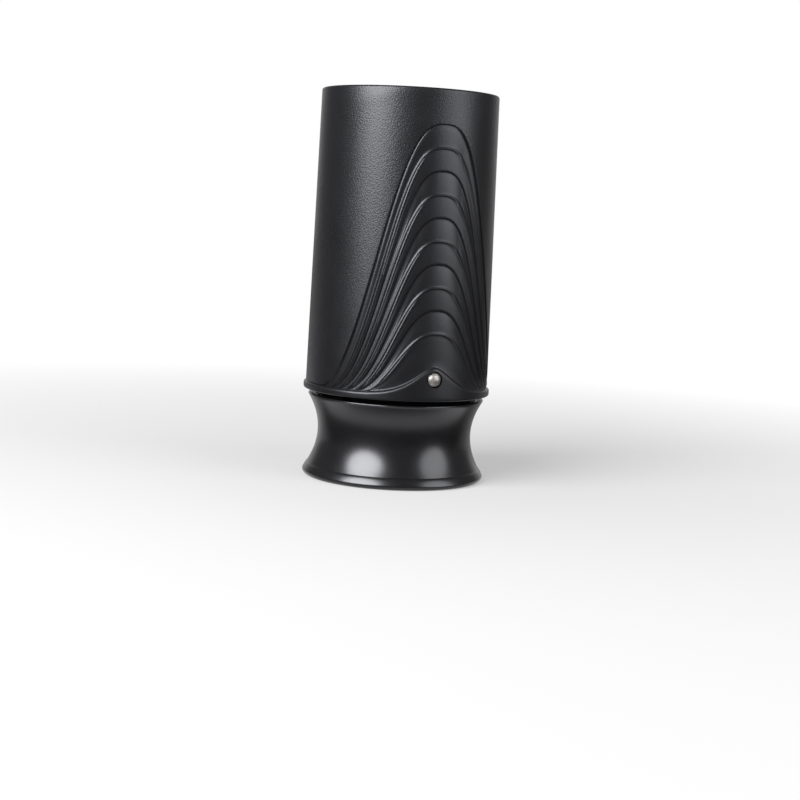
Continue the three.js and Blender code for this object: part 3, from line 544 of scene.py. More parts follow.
# Across each line, in mm: distance above it and height of the surface, at the crest, then on the flanks.
steepStep = [
    (0.30, 0, 0.30, 0), (0.12, -0.01, 0.14, -0.01), (0.02, -0.07, 0.07, -0.10),
    (-0.07, -0.30, -0.05, -0.50), (-0.18, -0.35, -0.15, -0.52), (-0.34, -0.29, -0.27, -0.38),
    (-0.8, -0.2, -0.6, -0.26),
]
bead = [
    (0.7, -0.18, 0.72, -0.46), (0.4, -0.17, 0.52, -0.39), (0.22, -0.07, 0.36, -0.22),
    (0.08, 0.03, 0.24, -0.09), (-0.05, 0.04, 0.04, -0.22), (-0.16, -0.02, -0.08, -0.19),
    (-0.28, -0.11, -0.22, -0.07), (-0.44, -0.14, -0.42, -0.10), (-0.8, -0.12, -0.70, -0.22),
]
fold = [
    (0.9, -0.12, 0.65, -0.21), (0.45, -0.12, 0.42, -0.22), (0.2, -0.15, 0.24, -0.27),
    (0.06, -0.21, 0.12, -0.38), (-0.06, -0.31, -0.02, -0.57), (-0.18, -0.35, -0.12, -0.59),
    (-0.4, -0.34, -0.32, -0.58), (-0.9, -0.30, -0.56, -0.56), (-1.6, -0.25, -0.8, -0.53),
]
lipStep = [
    (0.4, 0, 0.4, 0), (0.15, 0.03, 0.15, 0.03), (0.0, 0.12, 0.0, 0.12), (-0.15, 0.30, -0.15, 0.30),
    (-0.32, 0.47, -0.32, 0.47), (-0.5, 0.56, -0.5, 0.56), (-0.8, 0.6, -0.8, 0.6),
]


bossSpots = [polar(shellForm["bossCircle"], angle) for angle in shellForm["bossAngles"]]


def wallRadius(height):
    low = shellLow.z + shellForm["lipHeight"]
    share = max(0, (height - low) / (shellHigh.z - low))
    return shellForm["baseRadius"] + (shellForm["topRadius"] - shellForm["baseRadius"]) * share


# Height and steepness of one arch's line at a turn from the front, in degrees.
def archLine(number, turn):
    lipTop = shellLow.z + shellForm["lipHeight"]
    if number == arches["count"]:
        foot, (peak, spread, power) = lipTop, arches["lip"]
    else:
        foot = arches["foot"]
        peak = arches["peak"] - arches["peakStep"] * number
        spread = arches["spread"] - arches["spreadStep"] * number if number else arches["outerSpread"]
        power = arches["power"] - arches["powerStep"] * number
    share = max(abs(turn) / spread, 1e-6)
    rise = (peak - foot) * exp(-(share ** power))
    steepness = rise * power * share ** (power - 1) / spread
    arc = radians(1) * shellForm["baseRadius"]
    return max(foot + rise, lipTop), hypot(1, steepness / arc)


# A line's form at a slant: the crest form turns into the flank form as the line steepens.
def lineForm(profile, slant):
    low, high = arches["flank"]
    share = min(1, max(0, (slant - low) / (high - low)))
    return [
        (gap + (flankGap - gap) * share, rise + (flankRise - rise) * share)
        for gap, rise, flankGap, flankRise in profile
    ]


# Radius and height of the wall's points at one turn, downwards.
def outerWall(turn):
    form = shellForm
    last = arches["count"]
    field = arches["field"]
    lines = [archLine(number, turn) for number in range(last + 1)]
    profiles = [steepStep] + [(fold, bead)[number % 2] for number in range(1, last)] + [lipStep]
    top = shellHigh.z - form["edge"]
    wallLow = shellLow.z + form["lipEdge"]
    rows = []
    before = (top, 0.0)
    for number, (profile, (height, slant)) in enumerate(zip(profiles, lines)):
        profile = lineForm(profile, slant)
        upper = [row for row in profile if row[0] > 0]
        lower = [row for row in profile if row[0] <= 0]
        roomAbove = before[0] - height if number == 0 else (lines[number - 1][0] - height) / 2
        roomBelow = height - wallLow if number == last else (height - lines[number + 1][0]) / 2
        squeezeUp = min(1, arches["room"] * roomAbove / (upper[0][0] * slant))
        squeezeDown = min(1, arches["room"] * roomBelow / (-lower[-1][0] * slant))
        fade = min(1, arches["hold"] * min(squeezeUp, squeezeDown)) if 0 < number < last else 1
        placed = [(height + gap * slant * squeezeUp, field + (rise - field) * fade) for gap, rise in upper]
        placed += [(height + gap * slant * squeezeDown, field + (rise - field) * fade) for gap, rise in lower]
        if number == last:
            step = profile[-1][1]
            placed = [(z, before[1] + (step - before[1]) * rise / step) for z, rise in placed]
        count = arches["fillRows"] if number else form["plainRows"]
        first = placed[0]
        for row in range(1, count + 1):
            share = row / (count + 1)
            ease = share * share * (3 - 2 * share)
            swell = arches["swell"] * sin(pi * share) * fade if number else 0
            z = before[0] + (first[0] - before[0]) * share
            rows.append((z, before[1] + (first[1] - before[1]) * ease + swell))
        rows += placed
        before = placed[-1]
    count = form["lipRows"]
    rows += [(before[0] + (wallLow - before[0]) * row / count, before[1]) for row in range(1, count + 1)]
    lowest = top
    kept = []
    for z, rise in rows:
        lowest = min(lowest, z)
        kept.append((wallRadius(lowest) + rise, lowest))
    return kept


# A quarter circle, clockwise from the start.
def quarter(centre, radius, start):
    arc = [polar(radius, angle) for angle in spaced(start, start - 90, 5)]
    return [(centre[0] + across, centre[1] + up) for across, up in arc]


# The closed section of the shell at one turn: rim, outer wall, lip, inner wall, ledge.
def shellSection(turn):
    form = shellForm
    top = shellHigh.z
    low = shellLow.z
    edge = form["edge"]
    lip = form["lipEdge"]
    lipRadius = shellHigh.x
    inner = form["baseRadius"] - form["wall"]
    opening = form["openingRadius"]
    near, far = form["openingEdge"]
    cut = form["innerEdge"]
    rim = [(opening, form["ledgeTop"])]
    rim += [(opening, top - far), (opening + near, top - near), (opening + far, top)]
    rim += quarter((wallRadius(top - edge) - edge, top - edge), edge, 90)
    bottom = quarter((lipRadius - lip, low + lip), lip, 0)[1:]
    inside = [
        (inner + cut, low), (inner, low + cut), (inner, low + form["lipHeight"]),
        (wallRadius(form["ledgeBottom"]) - form["wall"], form["ledgeBottom"]),
        (form["ledgeRadius"], form["ledgeBottom"]), (form["ledgeRadius"], form["ledgeTop"]),
    ]
    return rim + outerWall(turn) + bottom + inside + rim[:1]


# The turns of the shell's columns, in degrees from the front, close together there.
def shellTurns():
    form = shellForm
    half = form["frontHalf"]
    front = spaced(-half, half, round(2 * half / form["frontStep"]) + 1)
    back = spaced(half, 360 - half, round((360 - 2 * half) / form["backStep"]) + 1)
    return front + back[1:]


# Screw bosses, each held to the wall by a web.
def shellBosses():
    form = shellForm
    low, high = form["bossHeights"]
    circle = form["bossCircle"]
    outside = form["baseRadius"] - form["wall"] + form["webSink"]
    bosses = []
    for angle in form["bossAngles"]:
        bosses.append(drum(form["bossRadius"], low, high, polar(circle, angle)))
        size = (outside - circle, form["webThick"], high - low)
        bosses.append(block(size, ((outside + circle) / 2, 0, (low + high) / 2), angle))
    return bosses


# Ribs beside the battery carrier, each with a shelf at its foot.
def shellRibs():
    form = shellForm
    low, high = form["ribHeights"]
    outside = form["topRadius"] - form["wall"] + form["ribSink"]
    thick = form["ribThick"]
    ribs = []
    for angle in form["ribAngles"]:
        for inner, top in ((form["ribInner"], high), (form["shelfInner"], low + thick)):
            centre = ((outside + inner) / 2, 0, (low + top) / 2)
            ribs.append(block((outside - inner, thick, top - low), centre, angle))
    return ribs


def buildShell():
    form = shellForm
    turns = shellTurns()
    sections = [shellSection((turn + 180) % 360 - 180) for turn in turns]
    columns, rows = len(turns) - 1, len(sections[0]) - 1
    bm = bmesh.new()
    bmesh.ops.create_grid(bm, x_segments=columns, y_segments=rows, size=0.5)
    arched = bm.verts.layers.float.new("arched")
    for vert in bm.verts:
        column = round((vert.co.x + 0.5) * columns)
        row = round((vert.co.y + 0.5) * rows)
        radius, height = sections[column][row]
        turn = (turns[column] + 180) % 360 - 180
        vert[arched] = min(1, max(0, archLine(0, turn)[0] - height))
        angle = radians(turns[column])
        vert.co = Vector((radius * sin(angle), -radius * cos(angle), height)) * mm
    bmesh.ops.remove_doubles(bm, verts=bm.verts[:], dist=form["merge"] * mm)
    bmesh.ops.dissolve_degenerate(bm, dist=form["degenerate"] * mm, edges=bm.edges[:])
    bmesh.ops.recalc_face_normals(bm, faces=bm.faces[:])
    shell = meshObject("housingShell", bm)
    along = Matrix.Translation((0, 0, domeCentre.z * mm)) @ Matrix.Rotation(radians(90), 4, "X")
    hole = drum(form["holeRadius"], *form["holeSpan"], sides=64, turn=along)
    out, up = form["slotPlace"]
    slotCentre = (form["ledgeRadius"] + out, 0, form["ledgeTop"] + up)
    slots = [block(form["slotSize"], slotCentre, angle) for angle in form["slotAngles"]]
    combine(shell, "DIFFERENCE", [hole, *slots])
    combine(shell, "UNION", shellBosses() + shellRibs())
    low, high = form["bossHeights"]
    pilots = [drum(form["pilotRadius"], low - 1, high - form["pilotTop"], spot) for spot in bossSpots]
    combine(shell, "DIFFERENCE", pilots)
    finishPiece(shell, "housing_black", "housing", ["body_shell"], crisp=form["crisp"])


buildShell()


# The bell collar, with the deck and hub inside it.
collarForm = {
    "footRadius": 25.1, "footHeight": 1.2, "footRound": 1.3, "bandTop": 3.2, "bandBulge": 0.72,
    "waistRadius": 21.2, "waistHeight": 12.5, "topRadius": 24.2, "height": 22.6, "edge": 0.4,
    "innerRound": 0.3, "wall": 2.0, "deck": (16.0, 18.0), "hubRadius": 7.0, "hubTop": 20.0,
    "boreRadius": 4.3, "boreRound": 0.2, "grooveRadius": 5.8, "groove": (17.3, 18.7), "guideCircle": 17.0,
    "guideAngles": (30, 150, 270), "holeRadius": 1.5,
}


def collarRadius(height):
    form = collarForm
    foot, waist, band = form["footHeight"], form["waistHeight"], form["bandTop"]
    if height > waist:
        share = (height - waist) / (form["height"] - form["edge"] - waist)
        return form["waistRadius"] + (form["topRadius"] - form["waistRadius"]) * share ** 2
    flare = form["footRadius"] - form["waistRadius"]
    radius = form["waistRadius"] + flare * ((waist - max(height, band)) / (waist - foot)) ** 2
    if height < band:  # a fine step, then a fuller band along the foot
        radius += (form["footRadius"] - radius) * ((band - height) / (band - foot)) ** form["bandBulge"]
    return radius


def buildCollar():
    form = collarForm
    deckLow, deckHigh = form["deck"]
    wall, band, footHeight, bore = form["wall"], form["bandTop"], form["footHeight"], form["boreRadius"]
    bend = form["height"] - form["edge"]
    corners = [(form["footRadius"] - wall, 0, form["innerRound"])]
    for angle in spaced(0, 81, 10):
        inwards = form["footRound"] * (1 - sin(radians(angle)))
        corners.append((form["footRadius"] - inwards, footHeight * (1 - cos(radians(angle))), 0))
    heights = [band - (band - footHeight) * share ** 2 for share in spaced(1, 0, 14)]
    corners += [(collarRadius(z), z, 0) for z in heights + spaced(band + 0.2, bend - 0.1, 42)]
    for angle in spaced(10, 90, 5):
        inwards = form["edge"] * (1 - cos(radians(angle)))
        corners.append((form["topRadius"] - inwards, bend + form["edge"] * sin(radians(angle)), 0))
    corners.append((collarRadius(bend) - wall, form["height"], form["innerRound"]))
    corners += [(collarRadius(z) - wall, z, 0) for z in spaced(bend - 0.5, deckHigh, 8)]
    grooveLow, grooveHigh = form["groove"]
    corners += [
        (form["hubRadius"], deckHigh, 0), (form["hubRadius"], form["hubTop"], form["innerRound"]),
        (bore, form["hubTop"], form["boreRound"]), (bore, grooveHigh, 0),
        (form["grooveRadius"], grooveHigh, 0), (form["grooveRadius"], grooveLow, 0),
        (bore, grooveLow, 0), (bore, deckLow, form["boreRound"]),
    ]
    corners += [(collarRadius(z) - wall, z, 0) for z in spaced(deckLow, band, 14) + [footHeight]]
    collar = meshObject("bellCollar", turned(corners, 160))
    spots = [polar(form["guideCircle"], angle) for angle in form["guideAngles"]] + [(-form["guideCircle"], 0)]
    combine(collar, "DIFFERENCE", [drum(form["holeRadius"], deckLow - 1, deckHigh + 1, at) for at in spots])
    finishPiece(collar, "collar_black", "collar", ["collar"])


buildCollar()


# A soft skirt over the collar that blocks the view through the gap and leaves room for the guide screws; its
# near-black, dull finish is painted shade standing in for the shade in that gap.
skirtForm = {
    "inner": 20.9, "tip": (21.3, 22.3), "tipRound": 0.1, "shoulder": (21.85, 23.2), "top": (21.9, 24.18),
    "gapRadius": 2.5, "gapSpan": (20, 26),
}


def buildSkirt():
    form = skirtForm
    corners = [
        (form["inner"], form["tip"][1], form["tipRound"]), (*form["tip"], form["tipRound"]),
        (*form["shoulder"], 0), (*form["top"], 0), (form["inner"], form["top"][1], 0),
    ]
    skirt = meshObject("gapShadeSkirt", turned(corners, 96))
    combine(skirt, "DIFFERENCE", [drum(form["gapRadius"], *form["gapSpan"], spot) for spot in bossSpots])
    # the skirt's finish is painted shade, near black and dull
    finishPiece(skirt, "rubber", "housing", [], finishes["dust_ring"])


buildSkirt()


# The release button's crowned face, on the node's stem; heights are outwards from the axis.
domeForm = {"radius": 1.86, "back": 23.2, "rim": 25.30, "rimRound": 0.25, "tip": 26.05}


def buildDome():
    form = domeForm
    radius, back, rim = form["radius"], form["back"], form["rim"]
    corners = [(0, back, 0), (radius, back, 0), (radius, rim, form["rimRound"])]
    for angle in spaced(10, 90, 12):
        across = (radius - form["rimRound"]) * cos(radians(angle))
        corners.append((across, rim + (form["tip"] - rim) * sin(radians(angle)), 0))
    dome = moved(turned(corners, 64), Matrix.Rotation(radians(90), 4, "X"))
    dome = moved(dome, Matrix.Translation((domeCentre.x * mm, 0, domeCentre.z * mm)))
    button = copied("releaseDome", "release_button")
    combine(button, "UNION", [dome])
    finishPiece(button, "pearl", "release_button", ["release_button"])


buildDome()


# The battery cover, with bayonet lugs under it and a coin slot on top.
coverForm = {
    "bottom": 103.0, "top": 104.7, "radius": 20.4, "edge": 0.55, "round": 0.2, "skirt": (17.9, 19.1),
    "skirtBottom": 98.6, "lugAngles": (90, 210, 330), "lugHalf": 2.4, "lugTop": 100.5, "lugReach": 20.3,
    "lugRound": 0.25, "coin": (14, 2.0, 0.9),
    "coinRound": 0.49,  # as a share of the slot's width
    "dishRadius": 9.5, "dishSlope": 0.6, "dishDepth": 0.3, "dishRound": 0.3, "dotCircle": 16.5,
    "dotRadius": 0.5, "dotDepth": 0.35, "dotAngles": (-90, -60),
}


def buildCover():
    form = coverForm
    inner, outer = form["skirt"]
    bottom, top, low = form["bottom"], form["top"], form["skirtBottom"]
    fine, soft = form["round"], form["dishRound"]
    dish, dishTop = form["dishRadius"], top - form["dishDepth"]
    corners = [
        (0, bottom, 0), (inner, bottom, fine), (inner, low, fine), (outer, low, fine), (outer, bottom, 0),
        (form["radius"], bottom, fine), (form["radius"], top, form["edge"]),
        (dish + form["dishSlope"], top, soft), (dish, dishTop, soft), (0, dishTop, 0),
    ]
    cover = meshObject("batteryCover", turned(corners, 144))
    middle = (inner + outer) / 2
    reach, lugTop = form["lugReach"], form["lugTop"]
    lugs = []
    for angle in form["lugAngles"]:
        size = (reach - middle, 2 * form["lugHalf"], lugTop - low)
        lug = block(size, ((reach + middle) / 2, 0, (lugTop + low) / 2), angle)
        lugs.append(bevelled(lug, lug.edges[:], form["lugRound"], 2))
    combine(cover, "UNION", lugs)
    length, width, depth = form["coin"]
    slot = block((length, width, depth + 1), (0, 0, top - depth + (depth + 1) / 2))
    upright = [edge for edge in slot.edges if abs(edge.verts[0].co.z - edge.verts[1].co.z) > 1e-5]
    bevelled(slot, upright, width * form["coinRound"], 6)
    spots = [polar(form["dotCircle"], angle) for angle in form["dotAngles"]]
    dots = [drum(form["dotRadius"], top - form["dotDepth"], top + 1, spot, 24) for spot in spots]
    combine(cover, "DIFFERENCE", [slot, *dots])
    finishPiece(cover, "housing_black", "battery_cover", ["battery_cover"])


buildCover()


# The bottle seal, ribbed underneath, and the ring that holds it.
sealForm = {
    "bore": 4.3, "face": 12.0, "faceRound": 0.35, "flange": 13.5, "bottom": 13.2, "flangeBottom": 14.4,
    "top": 15.7, "round": 0.25, "boreRound": 0.3, "grooves": (7.0, 9.0, 11.0),
    "grooveHalf": (0.55, 0.25),  # at the face and at the groove's bottom
    "grooveDepth": 0.3,
}
retainerForm = {
    "inner": 12.3, "innerRound": 0.2, "outer": 14.6, "outerRound": 0.35, "bottom": 13.4, "lipTop": 14.1,
    "lipRound": 0.1, "bore": 13.8, "top": 15.7, "notch": (1.2, 1.6, 0.6), "notchRise": 0.1,
    "notchAngles": range(0, 360, 60),
}


def buildSeal():
    form = sealForm
    bore, bottom, flange = form["bore"], form["bottom"], form["flange"]
    wide, narrow = form["grooveHalf"]
    deep = bottom + form["grooveDepth"]
    corners = [(bore, bottom, form["boreRound"])]
    for groove in form["grooves"]:
        corners += [
            (groove - wide, bottom, 0), (groove - narrow, deep, 0),
            (groove + narrow, deep, 0), (groove + wide, bottom, 0),
        ]
    corners += [
        (form["face"], bottom, form["faceRound"]), (form["face"], form["flangeBottom"], 0),
        (flange, form["flangeBottom"], form["round"]), (flange, form["top"], form["round"]),
        (bore, form["top"], form["round"]),
    ]
    seal = meshObject("sealCup", turned(corners, 96))
    finishPiece(seal, "silicone", "collar", ["seal_cup"], crisp=50)


def buildRetainer():
    form = retainerForm
    inner, outer, bottom, lipTop = form["inner"], form["outer"], form["bottom"], form["lipTop"]
    corners = [
        (inner, bottom, form["innerRound"]), (outer, bottom, form["outerRound"]), (outer, form["top"], 0),
        (form["bore"], form["top"], 0), (form["bore"], lipTop, 0), (inner, lipTop, form["lipRound"]),
    ]
    retainer = meshObject("sealRetainer", turned(corners, 96))
    centre = (outer, 0, bottom + form["notchRise"])
    combine(retainer, "DIFFERENCE", [block(form["notch"], centre, angle) for angle in form["notchAngles"]])
    finishPiece(retainer, "moulding", "collar", ["seal_retainer"])


buildSeal()
buildRetainer()


# Screws with cross recesses; clear is how far the cutting shapes stand out.
recessForm = {"span": 2.0, "width": 0.5, "depth": 0.7, "clear": 0.1}


def buildScrew(name, node, body):
    form = recessForm
    span, width, depth, clear = form["span"], form["width"], form["depth"], form["clear"]
    low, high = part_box(node)
    middle = (low + high) / 2 / mm
    screw = copied(name, node)
    centre = (middle.x, middle.y, low.z / mm + depth / 2 - clear)
    tall = depth + 2 * clear
    combine(screw, "DIFFERENCE", [block((span, width, tall), centre), block((width, span, tall), centre)])
    finishPiece(screw, "steel", body, [node])


for number in (1, 2, 3):
    buildScrew(f"guideScrew{number}", f"guide_screw_{number}", "housing")
    buildScrew(f"plateScrew{number}", f"plate_screw_{number}", "housing")


# Battery cells, every second one upside down.
cellForm = {
    "radius": 5.1, "round": 0.6, "fine": 0.1,
    "base": (1.2, 1.0),  # how far in from the side the raised base ends and its step starts
    "baseStep": 0.2, "nub": 0.9, "nubRadius": 2.7, "nubRound": 0.3,
    "groove": (0.9, 1.0),  # round the nub, from its side
    "grooveDepth": 0.15, "sleeveInset": 0.45,
}


def buildCell(number):
    form = cellForm
    node = f"battery_cell_{number}"
    low, high = (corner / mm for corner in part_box(node))
    centre = (low + high) / 2
    upright = number % 2 == 1
    radius, nub, fine = form["radius"], form["nubRadius"], form["fine"]
    step, shoulder = low.z + form["baseStep"], high.z - form["nub"]
    sunk = shoulder - form["grooveDepth"]
    corners = [
        (0, low.z, 0), (radius - form["base"][0], low.z, fine), (radius - form["base"][1], step, fine),
        (radius, step, form["round"]), (radius, shoulder, form["round"]),
        (nub + form["groove"][1], shoulder, form["grooveDepth"]), (nub + form["groove"][0], sunk, fine),
        (nub, sunk, fine), (nub, high.z, form["nubRound"]), (0, high.z, 0),
    ]
    bm = turned(corners, 48)
    if not upright:
        lift = Matrix.Translation((0, 0, centre.z * mm))
        drop = Matrix.Translation((0, 0, -centre.z * mm))
        moved(bm, lift @ Matrix.Rotation(pi, 4, "X") @ drop)
    moved(bm, Matrix.Translation((centre.x * mm, centre.y * mm, 0)))
    cell = meshObject(f"batteryCell{number}", bm)
    inset = form["sleeveInset"]
    if upright:
        start, end = low.z + inset, high.z - form["nub"] - inset
    else:
        start, end = low.z + form["nub"] + inset, high.z - inset
    look = cellFinish(f"cellSleeve{number}", start * mm, end * mm, upright)
    finishPiece(cell, "cell_wrap", "housing", [node], look)


for number in (1, 2, 3, 4):
    buildCell(number)


# Springs, each wound to its node's length along its axis.
springForms = {
    "collarSpring": {
        "node": "collar_spring", "joint": "collar_press", "travel": 1.0, "axis": (0, 0, 1),
        "radii": (9.5, 9.5), "wire": 0.25, "turns": 2.6, "closed": 0.9, "steps": 40, "ground": 0.12,
    },
    "releaseSpring": {
        "node": "release_spring", "joint": "release_press", "travel": 0.8, "axis": (0, 1, 0),
        "radii": (1.85, 2.6), "wire": 0.14, "turns": 2.4, "closed": 0.0, "steps": 28, "ground": 0.05,
    },
}
closedPitch = 2.15  # from one closed turn to the next, in radii of the wire


# A wire spring up Z from 0, wound wider towards one end; its end turns lie close and are ground flat.
def wound(form, length):
    wire, ground, steps, closed = form["wire"], form["ground"], form["steps"], form["closed"]
    low, high = form["radii"]
    bm = bmesh.new()
    stand = Matrix.Translation((low * mm, 0, (wire - ground) * mm)) @ Matrix.Rotation(pi / 2, 4, "X")
    bmesh.ops.create_circle(bm, cap_ends=False, segments=10, radius=wire * mm, matrix=stand)
    closedRise = closedPitch * wire * closed
    openRise = length - 2 * (wire - ground) - 2 * closedRise
    section = bm.verts[:] + bm.edges[:]
    for turns, rise in ((closed, closedRise), (form["turns"], openRise), (closed, closedRise)):
        count = round(turns * steps)
        if count:
            swept = bmesh.ops.spin(
                bm, geom=section, cent=(0, 0, 0), axis=(0, 0, 1), angle=2 * pi * turns, steps=count,
                dvec=(0, 0, rise / count * mm),
            )
            section = swept["geom_last"]
    for height, normal in ((0, -1), (length * mm, 1)):
        bmesh.ops.bisect_plane(
            bm, geom=bm.verts[:] + bm.edges[:] + bm.faces[:], dist=1e-7, plane_co=(0, 0, height),
            plane_no=(0, 0, normal), clear_outer=True,
        )
    bmesh.ops.holes_fill(bm, edges=bm.edges[:], sides=0)
    for vert in bm.verts:
        out = vert.co.to_2d().length
        wider = (out + (high - low) * mm * vert.co.z / (length * mm)) / out
        vert.co.x, vert.co.y = vert.co.x * wider, vert.co.y * wider
    bmesh.ops.recalc_face_normals(bm, faces=bm.faces[:])
    return bm


def buildSpring(name):
    form = springForms[name]
    low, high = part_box(form["node"])
    axis = Vector(form["axis"])
    length = (high - low).dot(axis) / mm
    middle = (low + high) / 2
    start = middle - axis * length / 2 * mm
    turn = Vector((0, 0, 1)).rotation_difference(axis).to_matrix().to_4x4()
    spring = meshObject(name, moved(wound(form, length), Matrix.Translation(start) @ turn))
    finishPiece(spring, "steel", "housing", [form["node"]], crisp=50)
    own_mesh(spring)


for name in springForms:
    buildSpring(name)


# The pump's diaphragm: its clamped middle follows the rod, its rim stays in the pump.
diaphragmForm = {
    "centre": 13.0, "bore": 1.3, "clamp": 3.4, "web": 4.3, "webThick": 0.5, "low": 33.6,
    "middle": (34.4, 35.2), "rim": (4.45, 5.9), "rimHigh": 34.4, "bead": 5.3, "beadRise": 0.15, "fine": 0.1,
    "soft": 0.2,
}


def buildDiaphragm():
    form = diaphragmForm
    under, over = form["middle"]
    clamp, web, low, fine, soft = form["clamp"], form["web"], form["low"], form["fine"], form["soft"]
    webTop = low + form["webThick"]
    flexing = [
        (form["bore"], under, fine), (clamp - 0.1, under, fine), (clamp - 0.05, low, fine), (web, low, fine),
        (web, webTop, fine), (clamp + 0.22, webTop + 0.2, 0.15), (clamp + 0.15, over, 0.25),
        (form["bore"], over, fine),
    ]
    inner, outer = form["rim"]
    high, bead = form["rimHigh"], form["bead"]
    beadTop = high + form["beadRise"]
    clamped = [
        (inner, low, fine), (outer, low, soft), (outer, beadTop, soft), (bead, beadTop, fine),
        (bead - 0.2, high - 0.1, fine), (inner, high - 0.2, fine),
    ]
    parts = (("diaphragmMiddle", flexing, "con_rod"), ("diaphragmRim", clamped, "housing"))
    for name, corners, body in parts:
        bm = moved(turned(corners, 72), Matrix.Translation((form["centre"] * mm, 0, 0)))
        finishPiece(meshObject(name, bm), "rubber", body, ["diaphragm"], crisp=50)


buildDiaphragm()


cameraForm = {
    "azimuth": -23.25, "elevation": 7.12, "roll": 2.93, "distance": 0.430, "lens": 69.75, "sensor": 36,
    "nearest": 0.01,
    "sideways": 1.24,  # where it aims, in mm beside the axis and over the floor
    "aim": 21.11,
}

# Distances in metres. In gloss the floor shows painted reflections: painted shade close by, then a painted
# glowing ring, then painted dark like the room.
stageForm = {
    "floorRadius": 3.0,
    "openRadius": 0.021,  # hidden under the collar, so that its inside is lit from below
    "level": 0.64,
    "fade": (0.05, 0.28),  # where the floor turns to the white behind it
    "lift": 0.35, "nearDark": (0.0345, 0.0358), "paintedNearShade": 0.92,
    "footLight": (0.0256, 0.0270),  # the near painted shade is weaker within this
    "besides": (-0.6, -0.1),  # the near painted shade ends at the object's sides
    "farDark": (0.0410, 0.0470), "paintedFarShade": 0.96,
    "behind": (0.15, 0.75),  # and the far painted shade behind it
    # painted reflection: in gloss the floor glows white between the near and far painted shade
    "paintedGlowLift": 0.8,
}
studioForm = {"ambient": 0.3, "roomLevel": 0.14, "roomFade": (0.7, 1.0)}

# Azimuths are from the camera's; distances and sizes are in metres.
lightForms = {
    "keyLight": {"azimuth": -42, "elevation": 27, "distance": 0.55, "size": (0.48, 0.42), "power": 5.1},
    "sideLight": {"azimuth": 63, "elevation": 19, "distance": 0.6, "size": (0.44, 0.50), "power": 1.55},
}
lightTarget = Vector((0, 0, 50 * mm))


# From the object outwards, at an azimuth and an elevation in degrees.
def outwards(azimuth, elevation):
    turn, tilt = radians(azimuth), radians(elevation)
    return Vector((sin(turn) * cos(tilt), -cos(turn) * cos(tilt), sin(tilt)))


camTurn = radians(cameraForm["azimuth"])
camAway = Vector((-sin(camTurn), cos(camTurn), 0))


def floorMesh():
    bm = bmesh.new()
    outer = bmesh.ops.create_circle(bm, segments=96, radius=stageForm["floorRadius"])["verts"]
    inner = bmesh.ops.create_circle(bm, segments=96, radius=stageForm["openRadius"])["verts"]
    rims = [edge for edge in bm.edges if edge.verts[0] in outer or edge.verts[0] in inner]
    bmesh.ops.bridge_loops(bm, edges=rims)
    bmesh.ops.recalc_face_normals(bm, faces=bm.faces[:])
    if bm.faces[:][0].normal.z < 0:
        bmesh.ops.reverse_faces(bm, faces=bm.faces[:])
    return bm


def floorFinish():
    form = stageForm
    finish = Finish("paleFloor")
    reach = finish.vectors("LENGTH", finish.place, output="Value")
    depth = finish.vectors("DOT_PRODUCT", finish.place, camAway, output="Value")
    glossy, sight = finish.rays("Glossy"), finish.rays("Camera")
    ahead = depth / reach
    near = (1 - reach.between(*form["nearDark"])) * (0.5 + reach.between(*form["footLight"]) * 0.5)
    near = near * (1 - ahead.between(*form["besides"]))
    outer = reach.between(*form["farDark"])
    far = outer * (1 - ahead.between(*form["behind"]))
    # Painted reflections: in gloss the floor is painted dark near the object and far off, and glows white
    # between, so that the collar shows painted shade and a painted bright band.
    dim = glossy * (near * form["paintedNearShade"] + far * form["paintedFarShade"])
    ring = glossy * (1 - near) * (1 - outer) * form["paintedGlowLift"]
    finish.made(colour=finish.mix(dim, (form["level"],) * 3, (0, 0, 0)), roughness=0.9, specular=0.1)
    fade = form["lift"] + reach.between(*form["fade"]) * (1 - form["lift"])
    white = finish.add("ShaderNodeEmission", {}, {"Color": (1, 1, 1, 1), "Strength": 1.0}, "Emission")
    pale = Wire(finish, finish.shader.outputs[0])
    shown = finish.add("ShaderNodeMixShader", {}, {0: fade * sight + ring, 1: pale, 2: white})
    under = finish.add("ShaderNodeNewGeometry", output="Backfacing")
    clear = finish.add("ShaderNodeBsdfTransparent")
    seen = finish.add("ShaderNodeMixShader", {}, {0: under * sight, 1: shown, 2: clear})  # clear from below
    finish.feed(finish.tree.nodes["Material Output"].inputs["Surface"], seen)
    return finish.material


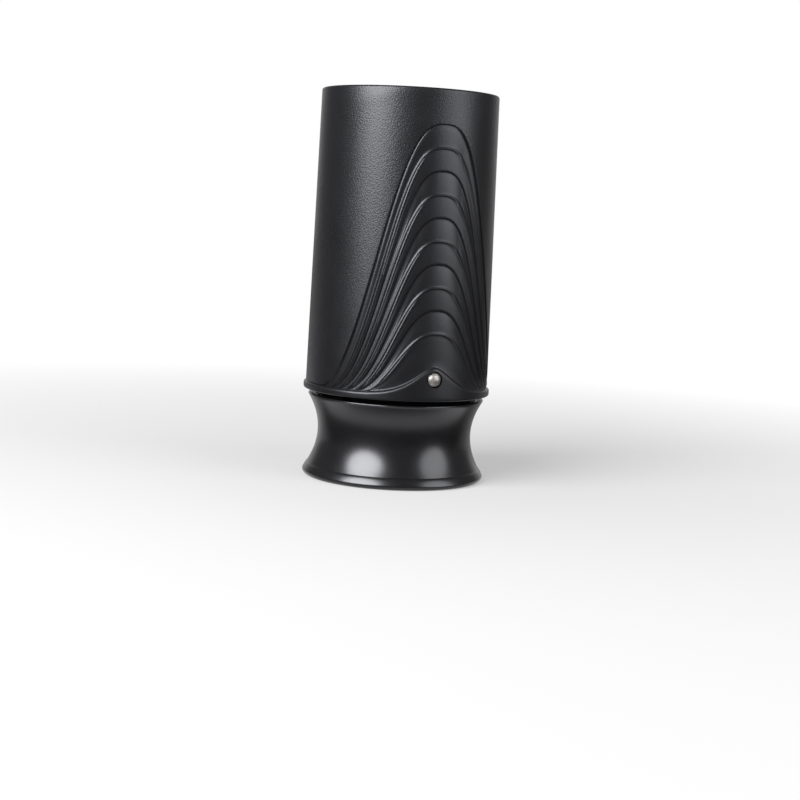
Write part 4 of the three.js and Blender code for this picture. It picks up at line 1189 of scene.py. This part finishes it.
def buildFloor():
    floor = meshObject("floor", floorMesh())
    floor.data.materials.append(floorFinish())


# White for the camera. Reflections show it only behind the object, and a dim room everywhere else.
def buildWorld():
    form = studioForm
    world = bpy.data.worlds.new("studio")
    scene.world = world
    world.use_nodes = True
    room = Sheet(world.node_tree)
    facing = room.add("ShaderNodeTexCoord", output="Generated")
    depth = room.vectors("DOT_PRODUCT", facing, camAway, output="Value")
    camera, glossy, clear = (room.rays(kind) for kind in ("Camera", "Glossy", "Transmission"))
    behind = depth.between(*form["roomFade"])
    seen = camera + clear + glossy * (form["roomLevel"] + behind * (1 - form["roomLevel"]))
    diffuse = (1 - (camera + clear + glossy)) * form["ambient"]
    background = world.node_tree.nodes["Background"]
    room.feed(background.inputs["Strength"], seen + diffuse)
    background.inputs["Color"].default_value = (1, 1, 1, 1)


def stand(name, data, location, rotation):
    thing = bpy.data.objects.new(name, data)
    thing.location = location
    thing.rotation_mode = "QUATERNION"
    thing.rotation_quaternion = rotation
    scene.collection.objects.link(thing)
    return thing


def addSoftbox(name, form):
    data = bpy.data.lights.new(name, "AREA")
    data.shape = "ELLIPSE"
    data.size, data.size_y = form["size"]
    data.energy = form["power"]
    back = outwards(cameraForm["azimuth"] + form["azimuth"], form["elevation"])
    location = lightTarget + form["distance"] * back
    stand(name, data, location, (location - lightTarget).to_track_quat("Z", "Y"))


def buildCamera():
    form = cameraForm
    data = bpy.data.cameras.new("camera")
    data.lens = form["lens"]
    data.sensor_width = form["sensor"]
    data.clip_start = form["nearest"]
    right = Vector((cos(camTurn), sin(camTurn), 0))
    target = right * form["sideways"] * mm + Vector((0, 0, form["aim"] * mm))
    back = outwards(form["azimuth"], form["elevation"])
    turn = back.to_track_quat("Z", "Y") @ Quaternion((0, 0, 1), radians(form["roll"]))
    scene.camera = stand("camera", data, target + back * form["distance"], turn)


buildFloor()
buildWorld()
for name, form in lightForms.items():
    addSoftbox(name, form)
buildCamera()
print("stage, lights and camera placed")

scene.view_settings.view_transform = "Standard"
